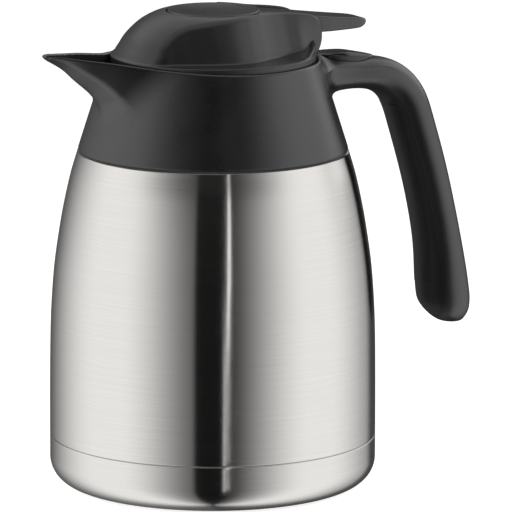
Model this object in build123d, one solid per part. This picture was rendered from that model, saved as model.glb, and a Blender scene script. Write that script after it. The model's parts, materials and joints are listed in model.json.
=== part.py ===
"""Thermal carafe: steel vacuum body, moulded collar with spout and handle, lever-opened screw stopper.

Millimetres. The origin is on the body's axis at table level, +Z up, handle towards +X,
spout towards -X. The carafe is a mirror image of itself about the XZ plane.
"""

from build123d import *
import math
import os

# ---------------------------------------------------------------- driving dimensions

BODY_RADIUS = 66.35
SHEET = 0.6
FOOT_ROUND = 10.8
FOOT_LEVEL = 0.3
SEAM_LEVEL = 19.6
SEAM_GAP = 0.5
SHOULDER_RADIUS = 55.0
SHOULDER_LEVEL = 137.2

COLLAR_BOTTOM = 137.8
COLLAR_BOTTOM_RADIUS = 54.85
COLLAR_SLOPE = 0.316
COLLAR_WALL = 2.4
RIM_LEVEL = 174.4
WELL_RADIUS = 42.1
FLOOR_BOTTOM = 159.0
FLOOR_TOP = 161.5

LIP_LEVEL = 158.0
NECK_RADIUS = 33.4
SLEEVE_OUTER = 33.2
SLEEVE_INNER = 31.6
LEDGE_RADIUS = 27.0
LEDGE_BOTTOM = 140.0
LEDGE_TOP = 141.6

PLUG_RADIUS = 29.9
PLUG_WALL = 1.7
PLUG_STEP = 143.6
PLUG_NOSE_RADIUS = 26.4
PLUG_BOTTOM = 138.6
PORT_RADIUS = 10.0
PLATE_BOTTOM = 170.3
PLATE_TOP = 172.3

THREAD_LEAD = 27.0
THREAD_STARTS = 3
RIDGE_HEIGHT = 2.0
RIDGE_LEVEL = 152.0
SLEEVE_RIDGE_SPAN = 70.0
PLUG_RIDGE_SPAN = 50.0
RIDGE_GAP = 0.35

CROWN_RADIUS = 41.7
CROWN_FLANGE_TOP = 176.8
SPINE_HALF = 12.4
SLOT_HALF = 9.9
DISC_RADIUS = 18.7
DISC_RECESS = 19.3
RECESS_FLOOR = 190.8

PIN_X = 27.0
PIN_Z = 187.5
PIN_RADIUS = 1.5

REST_X = 59.3
REST_HALF_LENGTH = 14.2
REST_HALF_WIDTH = 9.2
REST_TOP = 172.4

STEM_RADIUS = 1.5
STEM_FIT = 0.06
HEAD_RADIUS = 3.4
HEAD_BOTTOM = 187.6
HEAD_TOP = 189.4


# ---------------------------------------------------------------- helpers


def turned(*points):
    """Solid turned about the Z axis from a closed outline of (radius, height) points."""
    return revolve(make_face(Plane.XZ * Polyline(*points, close=True)), Axis.Z)


def turned_edges(edges):
    """Solid turned about the Z axis from edges that close an outline."""
    return revolve(make_face([Plane.XZ * edge for edge in edges]), Axis.Z)


def tube(outer, inner, bottom, top):
    """Plain ring standing on a level."""
    return turned((inner, bottom), (outer, bottom), (outer, top), (inner, top))


def rod(radius, bottom, top, x=0.0, y=0.0):
    """Plain upright cylinder."""
    disc = Plane(origin=(x, y, bottom)) * Circle(radius)
    return extrude(disc, amount=top - bottom, dir=(0, 0, 1))


def side_plate(half_width, *points):
    """Side outline of (x, height) points, extruded to both sides of the mirror plane."""
    face = make_face(Plane.XZ * Polyline(*points, close=True))
    return extrude(face, amount=half_width, both=True)


def block(x0, x1, half_width, bottom, top):
    """Box between two x stations, centred on the mirror plane."""
    return side_plate(half_width, (x0, bottom), (x1, bottom), (x1, top), (x0, top))


def sector(radius, bottom, top, centre, span):
    """Pie-shaped block about the axis, centred on a direction in degrees."""
    corners = [(0, 0)]
    for step in range(7):
        angle = math.radians(centre - span / 2 + span * step / 6)
        corners.append((radius * math.cos(angle), radius * math.sin(angle)))
    face = make_face(Plane(origin=(0, 0, bottom)) * Polyline(*corners, close=True))
    return extrude(face, amount=top - bottom, dir=(0, 0, 1))


def turned_skin(outer, inner):
    """Thin wall turned about Z between two smooth lines given from bottom to top."""
    edges = [
        Spline(*outer),
        Line(outer[-1], inner[-1]),
        Spline(*inner),
        Line(inner[0], outer[0]),
    ]
    return turned_edges(edges)


def collar_radius(level):
    """Outer radius of the collar's cone at a height."""
    return COLLAR_BOTTOM_RADIUS - COLLAR_SLOPE * (level - COLLAR_BOTTOM)


def thread_ridges(root, tip, level, span):
    """Short helical ridges, one for each start, centred on the given level."""
    height = THREAD_LEAD * span / 360
    path = Pos(0, 0, level - height / 2) * Rot(0, 0, -span / 2) * Helix(THREAD_LEAD, height, root)
    start = path @ 0
    outward = Vector(start.X, start.Y, 0).normalized()
    depth = tip - root
    profile = make_face(
        Plane(origin=start, x_dir=outward, z_dir=path % 0)
        * Polyline(
            (0, -RIDGE_HEIGHT / 2),
            (depth, -RIDGE_HEIGHT / 2 + 0.3),
            (depth, RIDGE_HEIGHT / 2 - 0.3),
            (0, RIDGE_HEIGHT / 2),
            close=True,
        )
    )
    ridge = sweep(profile, path, is_frenet=True)
    turn = 360 / THREAD_STARTS
    return [Rot(0, 0, turn * start_number) * ridge for start_number in range(THREAD_STARTS)]


# ---------------------------------------------------------------- steel body


def make_outer_shell():
    bottom = SEAM_LEVEL + SEAM_GAP
    outside = [
        (BODY_RADIUS, bottom),
        (BODY_RADIUS, 34.0),
        (66.22, 54.0),
        (65.95, 67.0),
        (64.78, 86.5),
        (62.1, 106.5),
        (58.1, 126.3),
        (SHOULDER_RADIUS, SHOULDER_LEVEL - 0.3),
    ]
    inside = [(radius - SHEET, level) for radius, level in outside]
    wall = turned_skin(outside, inside)
    shoulder = turned(
        (SHOULDER_RADIUS, SHOULDER_LEVEL - 0.3),
        (SHOULDER_RADIUS - 0.4, SHOULDER_LEVEL),
        (52.3, SHOULDER_LEVEL),
        (52.0, 138.4),
        (49.8, 145.0),
        (47.0, 150.5),
        (41.0, 154.2),
        (36.6, 156.0),
        (36.6, LIP_LEVEL),
        (34.0, LIP_LEVEL),
        (34.0, LIP_LEVEL - SHEET),
        (36.0, LIP_LEVEL - SHEET),
        (36.0, 155.6),
        (40.7, 153.6),
        (46.6, 150.0),
        (49.2, 144.7),
        (51.4, 138.2),
        (51.7, SHOULDER_LEVEL - SHEET),
        (SHOULDER_RADIUS - SHEET, SHOULDER_LEVEL - SHEET),
        (SHOULDER_RADIUS - SHEET, SHOULDER_LEVEL - 0.3),
    )
    return wall + shoulder


def make_base_cup():
    outer = BODY_RADIUS
    foot = outer - FOOT_ROUND
    centre = FOOT_LEVEL + FOOT_ROUND
    lip = outer - SHEET - 0.1
    outside = [
        Line((50.4, FOOT_LEVEL), (foot, FOOT_LEVEL)),
        RadiusArc((foot, FOOT_LEVEL), (outer, centre), -FOOT_ROUND),
        Line((outer, centre), (outer, SEAM_LEVEL)),
        Line((outer, SEAM_LEVEL), (lip, SEAM_LEVEL)),
        Line((lip, SEAM_LEVEL), (lip, SEAM_LEVEL + 4)),
        Line((lip, SEAM_LEVEL + 4), (lip - SHEET, SEAM_LEVEL + 4)),
        Line((lip - SHEET, SEAM_LEVEL + 4), (lip - SHEET, centre)),
        RadiusArc((lip - SHEET, centre), (foot, FOOT_LEVEL + SHEET), FOOT_ROUND - SHEET),
        Line((foot, FOOT_LEVEL + SHEET), (51.0, FOOT_LEVEL + SHEET)),
        Line((51.0, FOOT_LEVEL + SHEET), (51.0, 2.6)),
        Line((51.0, 2.6), (3.1, 2.6)),
        Line((3.1, 2.6), (3.1, 2.0)),
        Line((3.1, 2.0), (50.4, 2.0)),
        Line((50.4, 2.0), (50.4, FOOT_LEVEL)),
    ]
    return turned_edges(outside)


def make_base_pad():
    return turned((0, 0), (49.2, 0), (50.0, 0.6), (50.0, 2.0), (5.6, 2.0), (5.6, 1.2), (0, 1.2))


def make_evacuation_plug():
    return turned((0, 1.3), (5.0, 1.3), (5.0, 2.0), (3.0, 2.0), (3.0, 3.6), (0, 3.6))


def make_getter():
    cup = rod(6.0, 2.6, 6.2, x=26.0) - rod(4.8, 3.6, 6.2, x=26.0)
    return cup


def make_inner_vessel():
    outside = [
        (0, 13.4),
        (44.0, 13.4),
        (50.5, 14.9),
        (55.6, 19.6),
        (57.6, 26.5),
        (57.6, 88.0),
        (56.6, 103.0),
        (53.0, 116.5),
        (46.6, 127.5),
        (39.4, 134.5),
        (35.2, 139.5),
        (34.0, 144.5),
        (34.0, LIP_LEVEL),
        (NECK_RADIUS, LIP_LEVEL),
        (NECK_RADIUS, 144.3),
        (34.5, 139.2),
        (38.9, 134.0),
        (46.1, 127.1),
        (52.4, 116.2),
        (56.0, 102.8),
        (57.0, 87.9),
        (57.0, 26.6),
        (55.1, 20.0),
        (50.2, 15.4),
        (44.0, 14.0),
        (0, 14.0),
    ]
    return turned(*outside)


# ---------------------------------------------------------------- collar with spout and handle


def spout_section(x, rim, half_width, keel, ceiling):
    """Upright U-shaped face across the spout at one station, carried straight up past the rim."""
    depth = rim - keel
    top = rim + 1.0
    flank = [(0.8, 0.28), (0.62, 0.6), (0.34, 0.88)]
    right = [(half_width * across, rim - depth * down) for across, down in flank]
    left = [(-across, level) for across, level in reversed(right)]
    edges = [
        Spline((half_width, top), *right, (0, keel), *left, (-half_width, top)),
        Line((-half_width, top), (-half_width, ceiling)),
        Line((-half_width, ceiling), (half_width, ceiling)),
        Line((half_width, ceiling), (half_width, top)),
    ]
    plane = Plane(origin=(x, 0, 0), x_dir=(0, 1, 0), z_dir=(1, 0, 0))
    return make_face([plane * edge for edge in edges])


def make_spout():
    """Solid beak, before the channel is cut."""
    stations = [
        (-30.0, 175.5, 29.0, 146.0),
        (-36.5, 176.1, 25.4, 148.0),
        (-43.0, 177.0, 21.9, 151.0),
        (-49.5, 178.1, 18.4, 157.2),
        (-56.0, 179.1, 14.9, 164.4),
        (-62.5, 179.9, 11.4, 169.9),
        (-68.5, 180.7, 8.1, 175.2),
        (-73.0, 181.2, 5.6, 178.0),
        (-75.6, 181.3, 3.8, 179.5),
        (-76.9, 181.3, 1.8, 180.6),
    ]
    return loft([spout_section(*station, ceiling=188.0) for station in stations])


def make_spout_channel():
    """Space inside the beak, open at the top."""
    stations = [
        (-27.0, 175.5, 28.0, 161.9),
        (-36.5, 176.1, 23.4, 161.9),
        (-43.0, 177.0, 19.9, 162.2),
        (-49.5, 178.1, 16.4, 163.6),
        (-56.0, 179.1, 12.9, 167.6),
        (-62.5, 179.9, 9.4, 172.6),
        (-68.5, 180.7, 6.2, 177.4),
        (-73.0, 181.2, 3.9, 179.4),
        (-75.2, 181.3, 2.4, 180.5),
    ]
    return loft([spout_section(*station, ceiling=192.0) for station in stations])


HANDLE_STATIONS = [
    # x, height, half thickness, half width, turn below the horizontal in degrees
    (40.0, 164.0, 8.6, 15.5, 0.0),
    (49.0, 164.2, 7.9, 13.6, 0.0),
    (57.0, 164.3, 7.0, 12.4, 0.0),
    (66.0, 163.9, 6.5, 12.2, 8.0),
    (75.7, 162.5, 7.3, 12.2, 26.0),
    (83.8, 157.9, 8.2, 12.2, 47.0),
    (88.7, 151.0, 8.7, 12.2, 62.0),
    (91.6, 143.1, 8.8, 12.2, 69.0),
    (97.3, 124.5, 8.8, 12.2, 74.0),
    (102.4, 104.0, 8.9, 12.2, 77.0),
    (105.7, 86.0, 9.7, 12.2, 81.0),
    (107.3, 73.0, 10.8, 12.0, 85.0),
    (108.5, 65.0, 11.0, 11.6, 87.0),
]


def handle_loft(inset):
    """Smooth bar through the handle's stations, smaller by the inset all round."""
    faces = []
    for x, level, half_thick, half_width, turn in HANDLE_STATIONS:
        angle = math.radians(turn)
        along = (math.cos(angle), 0, -math.sin(angle))
        plane = Plane(origin=(x, 0, level), x_dir=(0, 1, 0), z_dir=along)
        faces.append(plane * Ellipse(half_width - inset, half_thick - inset))
    return loft(faces)


def make_handle_end():
    """Rounded toe at the lower end of the handle."""
    x, level, half_thick, half_width, turn = HANDLE_STATIONS[-1]
    angle = math.radians(turn)
    along = (math.cos(angle), 0, -math.sin(angle))
    faces = []
    rings = [(0, 0, 1.0), (2.9, 1.1, 0.88), (5.5, 1.9, 0.73), (7.4, 2.6, 0.57)]
    rings += [(8.5, 3.2, 0.43), (9.2, 3.9, 0.2)]
    for lower, shift, share in rings:
        plane = Plane(origin=(x + shift, 0, level - lower), x_dir=(0, 1, 0), z_dir=along)
        faces.append(plane * Ellipse(half_width * share, half_thick * share))
    return loft(faces)


def cover_zone(margin):
    """Block that holds the strip on the finger side of the handle, with a margin round it."""
    inner = [(x - half + 2.4 + margin, level) for x, level, half, _, _ in HANDLE_STATIONS[5:13]]
    face = make_face(Plane.XZ * Polyline(*inner, (70.0, 60.0), (60.0, 110.0), (66.0, 160.0), close=True))
    zone = extrude(face, amount=7.0 + margin, both=True)
    return zone & block(50.0, 120.0, 20.0, 73.0 - margin, 150.4 + margin)


def make_handle_cover():
    return (handle_loft(0.0) & cover_zone(0.0)) - handle_loft(2.2)


def make_collar():
    top = 185.0
    cone = turned(
        (0, COLLAR_BOTTOM),
        (COLLAR_BOTTOM_RADIUS - 0.4, COLLAR_BOTTOM),
        (COLLAR_BOTTOM_RADIUS, COLLAR_BOTTOM + 0.5),
        (collar_radius(top), top),
        (0, top),
    )
    above_rim = side_plate(
        60,
        (60.0, RIM_LEVEL),
        (0.0, RIM_LEVEL),
        (-12.0, 174.7),
        (-21.0, 175.2),
        (-30.0, 175.6),
        (-36.5, 176.1),
        (-43.0, 177.0),
        (-49.5, 178.1),
        (-56.0, 179.1),
        (-62.5, 179.9),
        (-68.5, 180.7),
        (-74.0, 181.3),
        (-80.0, 181.3),
        (-80.0, 195.0),
        (60.0, 195.0),
    )
    outside = cone + make_spout() + handle_loft(0.0) + make_handle_end()
    skirt_hollow = turned(
        (0, COLLAR_BOTTOM),
        (COLLAR_BOTTOM_RADIUS - COLLAR_WALL, COLLAR_BOTTOM),
        (collar_radius(156.0) - COLLAR_WALL, 156.0),
        (collar_radius(156.0) - COLLAR_WALL - 3.0, FLOOR_BOTTOM),
        (0, FLOOR_BOTTOM),
    )
    well = rod(WELL_RADIUS, FLOOR_TOP, 190.0)
    mouth = rod(SLEEVE_OUTER + 0.1, FLOOR_BOTTOM - 1, FLOOR_TOP + 1)
    handle_hollow = handle_loft(2.2) & block(78.0, 125.0, 20, 70.0, 149.0)
    rest_pocket = rest_outline(12.4, 7.4, 167.4, 176.0)
    rest_pocket += rest_outline(REST_HALF_LENGTH + 0.2, REST_HALF_WIDTH + 0.2, 170.5, 176.0)
    shape = outside - above_rim - skirt_hollow - well - mouth - make_spout_channel()
    return shape - handle_hollow - cover_zone(0.15) - rest_pocket


def make_collar_seal():
    return tube(SHOULDER_RADIUS - 0.6, 52.5, SHOULDER_LEVEL, COLLAR_BOTTOM)


def rest_outline(half_length, half_width, bottom, top):
    """Upright oval block at the thumb rest."""
    oval = Plane(origin=(REST_X, 0, bottom)) * Ellipse(half_length, half_width)
    return extrude(oval, amount=top - bottom, dir=(0, 0, 1))


def make_thumb_rest():
    dome = Pos(REST_X, 0, REST_TOP - 3.0) * scale(Sphere(1.0), by=(20.0, 14.0, 3.0))
    pad = dome & rest_outline(REST_HALF_LENGTH, REST_HALF_WIDTH, 170.6, 176.0)
    return pad + rest_outline(12.2, 7.2, 167.6, 170.8)


# ---------------------------------------------------------------- mouth


def make_neck_gasket():
    return tube(36.4, SLEEVE_OUTER + 0.2, LIP_LEVEL, FLOOR_BOTTOM)


def make_neck_ring():
    sleeve = turned(
        (LEDGE_RADIUS, LEDGE_BOTTOM),
        (SLEEVE_OUTER, LEDGE_BOTTOM),
        (SLEEVE_OUTER, FLOOR_TOP),
        (37.5, FLOOR_TOP),
        (37.5, FLOOR_TOP + 1.4),
        (SLEEVE_INNER, FLOOR_TOP + 1.4),
        (SLEEVE_INNER, LEDGE_TOP),
        (LEDGE_RADIUS, LEDGE_TOP),
    )
    for ridge in thread_ridges(SLEEVE_INNER + 0.3, SLEEVE_INNER - 1.4, RIDGE_LEVEL, SLEEVE_RIDGE_SPAN):
        sleeve += ridge
    return sleeve


# ---------------------------------------------------------------- stopper


def make_stopper_body():
    inner = PLUG_RADIUS - PLUG_WALL
    plug = turned(
        (PORT_RADIUS, PLUG_BOTTOM),
        (PLUG_NOSE_RADIUS, PLUG_BOTTOM),
        (PLUG_NOSE_RADIUS, PLUG_STEP),
        (PLUG_RADIUS, PLUG_STEP),
        (PLUG_RADIUS, PLATE_BOTTOM),
        (41.2, PLATE_BOTTOM),
        (41.2, PLATE_TOP),
        (STEM_RADIUS + STEM_FIT, PLATE_TOP),
        (STEM_RADIUS + STEM_FIT, 160.0),
        (4.2, 160.0),
        (4.2, PLATE_BOTTOM),
        (inner, PLATE_BOTTOM),
        (inner, PLUG_STEP + 1.7),
        (PLUG_NOSE_RADIUS - PLUG_WALL, PLUG_STEP + 1.7),
        (PLUG_NOSE_RADIUS - PLUG_WALL, PLUG_BOTTOM + 2.0),
        (PORT_RADIUS, PLUG_BOTTOM + 2.0),
    )
    window = sector(36, 163.6, 169.4, 180, 70) - rod(PLUG_RADIUS - PLUG_WALL - 3, 160, 172)
    plug -= window
    level = RIDGE_LEVEL - RIDGE_HEIGHT - RIDGE_GAP
    for ridge in thread_ridges(PLUG_RADIUS - 0.3, PLUG_RADIUS + 1.3, level, PLUG_RIDGE_SPAN):
        plug += ridge
    return plug


def make_stopper_gasket():
    return tube(29.8, PLUG_NOSE_RADIUS + 0.08, LEDGE_TOP, PLUG_STEP)


def crown_plan(inset):
    """Plan of the crown's upper part, from the nose to the sides of the disc."""
    side = [(-48.0, 22.5), (-36.3, 19.2), (-28.2, 17.4), (-22.5, 18.3), (-17.0, 20.4)]
    side += [(-11.2, 22.1), (-4.0, 22.9), (3.0, 21.8), (9.0, 18.6), (14.0, 15.0), (19.0, 13.0)]
    side += [(26.0, SPINE_HALF)]
    near = [(x, -(y - inset)) for x, y in side]
    far = [(x, y - inset) for x, y in reversed(side)]
    edges = [
        Spline(*near),
        Line(near[-1], far[0]),
        Spline(*far),
        Line(far[-1], near[0]),
    ]
    return make_face(edges)


DOME_LINE = [
    (39.9, 177.6),
    (39.2, 179.5),
    (38.3, 181.1),
    (36.4, 184.1),
    (33.8, 187.0),
    (30.0, 190.2),
    (27.2, 191.8),
    (23.6, 193.4),
    (19.0, 194.7),
]


def dome_solid(inset):
    """Full dome of revolution, smaller by the inset."""
    line = [(radius - inset, level - inset) for radius, level in DOME_LINE]
    base = PLATE_TOP - 1
    edges = [
        Line((0, base), (line[0][0], base)),
        Line((line[0][0], base), line[0]),
        Spline(*line),
        Line(line[-1], (0, line[-1][1])),
        Line((0, line[-1][1]), (0, base)),
    ]
    return turned_edges(edges)


def make_stopper_crown():
    bottom = PLATE_TOP
    walls = extrude(Plane(origin=(0, 0, bottom)) * crown_plan(0.0), amount=30, dir=(0, 0, 1))
    front = dome_solid(0.0) & walls
    spine = side_plate(
        SPINE_HALF,
        (8.0, 174.0),
        (39.2, 174.0),
        (39.6, 174.8),
        (41.5, 174.9),
        (42.2, 176.6),
        (42.8, 179.0),
        (43.2, 181.2),
        (43.3, 183.4),
        (42.6, 185.8),
        (40.8, 188.6),
        (38.0, 190.9),
        (34.8, 192.1),
        (28.8, 192.9),
        (21.9, 193.5),
        (16.4, 194.2),
        (8.0, 194.7),
    )
    flange = turned(
        (0, bottom),
        (CROWN_RADIUS, bottom),
        (CROWN_RADIUS, 176.2),
        (CROWN_RADIUS - 0.6, CROWN_FLANGE_TOP),
        (0, CROWN_FLANGE_TOP),
    )
    below_lip = side_plate(60, (20.0, 170.0), (20.0, 176.6), (39.0, 181.0), (60.0, 181.0), (60.0, 170.0))
    lip = tube(CROWN_RADIUS - 0.2, 38.8, 174.0, 183.0) & below_lip
    below_ramp = side_plate(60, (12.0, 170.0), (12.0, 176.4), (38.0, 179.6), (60.0, 179.6), (60.0, 170.0))
    ramp = rod(39.4, 174.0, 182.0) & below_ramp
    shape = flange + front + spine + lip + ramp
    recess = rod(DISC_RECESS, RECESS_FLOOR, 200.0) + rod(DISC_RECESS, 191.4, 200.0, x=1.3)
    slot = side_plate(
        SLOT_HALF, (10.0, 183.6), (29.0, 183.6), (31.5, 179.9), (50.0, 179.9), (50.0, 200.0), (10.0, 200.0)
    )
    hollow = dome_solid(2.3) & extrude(
        Plane(origin=(0, 0, bottom - 2)) * crown_plan(2.3), amount=18.3, dir=(0, 0, 1)
    )
    hollow = hollow & block(-60.0, 9.0, 60, bottom - 2, 188.6)
    tail_hollow = side_plate(
        10.0, (8.0, bottom - 1), (36.5, bottom - 1), (36.5, 177.9), (28.0, 177.9), (8.0, 181.4)
    )
    shape = shape - recess - slot - hollow - tail_hollow
    shape = shape - rod(7.8, bottom - 1, 200.0)
    return shape - cross_bar(PIN_RADIUS, 30.0)


def cross_bar(radius, length):
    """Cylinder along Y on the lever's hinge line."""
    return Pos(PIN_X, 0, PIN_Z) * Rot(90, 0, 0) * Cylinder(radius, length)


def make_lever_pin():
    return cross_bar(PIN_RADIUS, 2 * SPINE_HALF - 0.6)


def make_pour_lever():
    disc = rod(DISC_RADIUS, 191.6, 194.7)
    dish = Pos(0, 0, 194.7 + 146.2) * Sphere(147.3)
    side = side_plate(
        40,
        (12.0, 190.6),
        (16.0, 188.8),
        (20.0, 186.0),
        (32.0, 184.6),
        (43.0, 183.1),
        (63.0, 183.1),
        (66.0, 183.7),
        (68.2, 184.8),
        (68.6, 186.0),
        (67.6, 187.1),
        (56.0, 188.4),
        (46.0, 189.6),
        (36.5, 191.0),
        (28.0, 192.1),
        (20.0, 193.1),
        (12.0, 194.2),
    )
    half = SLOT_HALF - 0.4
    plan = Polyline(
        (8.0, -half),
        (44.0, -half),
        (58.0, -8.0),
        (66.0, -7.0),
        (68.6, -4.0),
        (68.6, 4.0),
        (66.0, 7.0),
        (58.0, 8.0),
        (44.0, half),
        (8.0, half),
        close=True,
    )
    neck = side & extrude(Plane(origin=(0, 0, 180)) * make_face(plan), amount=20, dir=(0, 0, 1))
    yoke = block(-5.0, 5.0, 5.0, 185.4, 192.0)
    pocket = block(-6.0, 4.0, 3.9, 187.0, 190.3)
    stem_way = block(-6.0, 2.4, 2.2, 184.0, 188.0)
    shape = disc - dish + neck + yoke - pocket - stem_way
    return shape - cross_bar(PIN_RADIUS + 0.05, 30.0)


def make_valve_stem():
    return turned(
        (0, 138.9),
        (STEM_RADIUS, 138.9),
        (STEM_RADIUS, 139.5),
        (1.0, 139.5),
        (1.0, 140.2),
        (STEM_RADIUS, 140.2),
        (STEM_RADIUS, HEAD_BOTTOM),
        (HEAD_RADIUS, HEAD_BOTTOM),
        (HEAD_RADIUS, HEAD_TOP),
        (0, HEAD_TOP),
    )


def make_stem_clip():
    ring = rod(3.2, 139.55, 140.15) - rod(1.0, 139.0, 141.0)
    return ring - block(-4.0, 0.0, 0.9, 139.0, 141.0)


def make_stem_seal():
    return tube(4.0, STEM_RADIUS + STEM_FIT, PLATE_TOP, PLATE_TOP + 1.6)


def make_valve_disc():
    seat = PLUG_BOTTOM + 2.0
    return turned(
        (STEM_RADIUS, 140.2),
        (3.6, 140.2),
        (3.6, seat + 1.0),
        (13.0, seat + 1.0),
        (13.0, seat + 3.0),
        (7.0, seat + 3.6),
        (3.4, seat + 3.6),
        (3.4, seat + 5.2),
        (STEM_RADIUS, seat + 5.2),
    )


def make_valve_gasket():
    seat = PLUG_BOTTOM + 2.0
    return tube(12.6, PORT_RADIUS + 0.4, seat, seat + 1.0)


def make_valve_spring():
    """Round-wire coil between the disc and the plate."""
    wire = 0.45
    bottom = PLUG_BOTTOM + 2.0 + 3.6 + wire + 0.05
    top = PLATE_BOTTOM - wire - 0.05
    height = top - bottom
    path = Pos(0, 0, bottom) * Helix(height / 7, height, 5.4)
    section = Plane(origin=path @ 0, x_dir=(1, 0, 0), z_dir=path % 0) * Circle(wire)
    return sweep(section, path, is_frenet=True)


PIECES = {
    "outer_shell": make_outer_shell,
    "base_cup": make_base_cup,
    "base_pad": make_base_pad,
    "evacuation_plug": make_evacuation_plug,
    "getter": make_getter,
    "inner_vessel": make_inner_vessel,
    "collar": make_collar,
    "collar_seal": make_collar_seal,
    "handle_cover": make_handle_cover,
    "thumb_rest": make_thumb_rest,
    "neck_gasket": make_neck_gasket,
    "neck_ring": make_neck_ring,
    "stopper_body": make_stopper_body,
    "stopper_gasket": make_stopper_gasket,
    "stopper_crown": make_stopper_crown,
    "lever_pin": make_lever_pin,
    "pour_lever": make_pour_lever,
    "valve_stem": make_valve_stem,
    "stem_clip": make_stem_clip,
    "stem_seal": make_stem_seal,
    "valve_disc": make_valve_disc,
    "valve_gasket": make_valve_gasket,
    "valve_spring": make_valve_spring,
}


def main():
    os.makedirs("parts", exist_ok=True)
    for name, make in PIECES.items():
        shape = make()
        shape.label = name
        export_step(shape, f"parts/{name}.step")
        box = shape.bounding_box()
        count = len(shape.solids())
        print(f"{name}: {count} solid, volume {shape.volume:.0f} mm3, z {box.min.Z:.1f} to {box.max.Z:.1f}")


if __name__ == "__main__":
    main()
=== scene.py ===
"""Dresses the thermal carafe: smooth mouldings over its CAD solids, their finishes, and the studio.

The file is laid out as an add-on and is run as a script. Sizes in it are millimetres, and
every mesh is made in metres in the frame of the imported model: origin on the body's axis at
table level, +Z up, handle towards +X, spout towards -X. A field is a function of points that
is about the distance to a surface, negative inside.
"""

import json
import math

import bpy
import numpy as np
from bpy.props import FloatProperty, FloatVectorProperty, IntProperty, PointerProperty
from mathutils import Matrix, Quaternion, Vector

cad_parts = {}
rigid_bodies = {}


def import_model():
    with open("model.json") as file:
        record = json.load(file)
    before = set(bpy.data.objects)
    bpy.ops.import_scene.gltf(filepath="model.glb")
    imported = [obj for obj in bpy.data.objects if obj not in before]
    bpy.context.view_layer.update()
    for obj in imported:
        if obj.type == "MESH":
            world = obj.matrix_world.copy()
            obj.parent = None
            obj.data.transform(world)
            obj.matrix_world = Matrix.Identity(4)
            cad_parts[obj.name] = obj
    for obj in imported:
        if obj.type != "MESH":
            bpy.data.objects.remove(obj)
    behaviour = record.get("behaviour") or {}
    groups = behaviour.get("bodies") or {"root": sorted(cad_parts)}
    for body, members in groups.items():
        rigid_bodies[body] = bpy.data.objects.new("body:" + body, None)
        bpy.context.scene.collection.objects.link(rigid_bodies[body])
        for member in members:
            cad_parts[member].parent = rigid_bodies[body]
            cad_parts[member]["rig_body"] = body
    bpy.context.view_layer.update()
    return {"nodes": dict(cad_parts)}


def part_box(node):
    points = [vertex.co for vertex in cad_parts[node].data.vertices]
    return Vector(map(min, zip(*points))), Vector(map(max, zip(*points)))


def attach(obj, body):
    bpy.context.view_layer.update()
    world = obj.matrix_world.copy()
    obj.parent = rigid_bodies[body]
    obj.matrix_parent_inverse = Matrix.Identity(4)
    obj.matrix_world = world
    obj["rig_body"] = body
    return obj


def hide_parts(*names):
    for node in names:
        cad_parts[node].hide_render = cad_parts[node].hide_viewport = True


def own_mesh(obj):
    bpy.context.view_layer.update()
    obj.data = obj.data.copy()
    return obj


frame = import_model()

bl_info = {
    "name": "Thermal carafe",
    "version": (1, 0, 0),
    "blender": (4, 5, 0),
    "location": "View3D > Sidebar > Carafe",
    "description": "Builds a steel carafe with a moulded collar, a lever stopper and its studio",
    "category": "Add Mesh",
}

MM = 0.001
MOST_TRIANGLES = 190000
GRID_BLOCK = 4
GRID_BATCH = 300000
SLOPE_STEP = 0.03
CREASE_ANGLE = math.radians(35.0)


# ---------------------------------------------------------------- settings


def mm_setting(name, what, default, low, high):
    """Setting for a length in millimetres."""
    return FloatProperty(name=name, description=f"{what}, mm", default=default, min=low, max=high)


def angle_setting(name, what, default):
    """Setting for an angle in degrees."""
    what = f"{what}, degrees"
    return FloatProperty(name=name, description=what, default=default, min=-180, max=180)


def setting(name, what, default, low, unit="NONE"):
    """Setting for a plain number with a lower end."""
    return FloatProperty(name=name, description=what, default=default, min=low, unit=unit)


def colour_setting(name, what, *default):
    """Setting for a colour."""
    what = f"Colour of {what}"
    return FloatVectorProperty(name=name, description=what, subtype="COLOR", default=default)


class CarafeBodySettings(bpy.types.PropertyGroup):
    """Sizes of the steel body."""

    radius: mm_setting("Body radius", "Widest radius of the steel body", 66.35, 50, 90)
    sheet: mm_setting("Sheet", "Thickness of the steel", 0.6, 0.3, 2)
    seam_level: mm_setting("Seam", "Level of the seam above the base cup", 20.3, 5, 60)
    seam_gap: mm_setting("Seam gap", "Width of the seam", 0.22, 0.1, 2)
    foot_round: mm_setting("Foot round", "Radius between wall and foot", 10.8, 2, 30)
    segments: IntProperty(
        name="Segments", description="Steps round the body", default=288, min=32, max=720
    )


class CarafeMouldingSettings(bpy.types.PropertyGroup):
    """Sizes of the plastic mouldings."""

    cell: mm_setting("Cell", "Spacing of the grid the mouldings are meshed on", 0.5, 0.3, 3)
    cone_radius: mm_setting("Collar radius", "Radius at the collar's lower edge", 54.85, 30, 80)
    cone_slope: setting("Collar slope", "Radius lost for each mm of height", 0.316, 0)
    well_radius: mm_setting("Well radius", "Radius of the well round the stopper", 42.1, 20, 60)
    flank_blend: mm_setting("Spout blend", "Width of the fillet beside the spout", 5.0, 0.5, 12)
    handle_blend: mm_setting("Handle blend", "Width of the fillet by the handle", 7.0, 0.5, 12)


class CarafeFinishSettings(bpy.types.PropertyGroup):
    """Colours of the finishes."""

    steel: colour_setting("Brushed steel", "the outer steel", 0.79, 0.77, 0.748)
    plain_steel: colour_setting("Plain steel", "the drawn steel inside", 0.66, 0.66, 0.66)
    plastic: colour_setting("Black plastic", "the textured mouldings", 0.0066, 0.0064, 0.0068)
    gloss: colour_setting("Smooth black", "the thumb pad", 0.0095, 0.0095, 0.010)
    grey: colour_setting("Dark grey plastic", "the parts at the mouth", 0.09, 0.09, 0.095)
    rubber: colour_setting("Rubber", "the pad and the seal", 0.03, 0.03, 0.03)
    silicone: colour_setting("Silicone", "the gaskets", 0.72, 0.72, 0.70)


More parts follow.
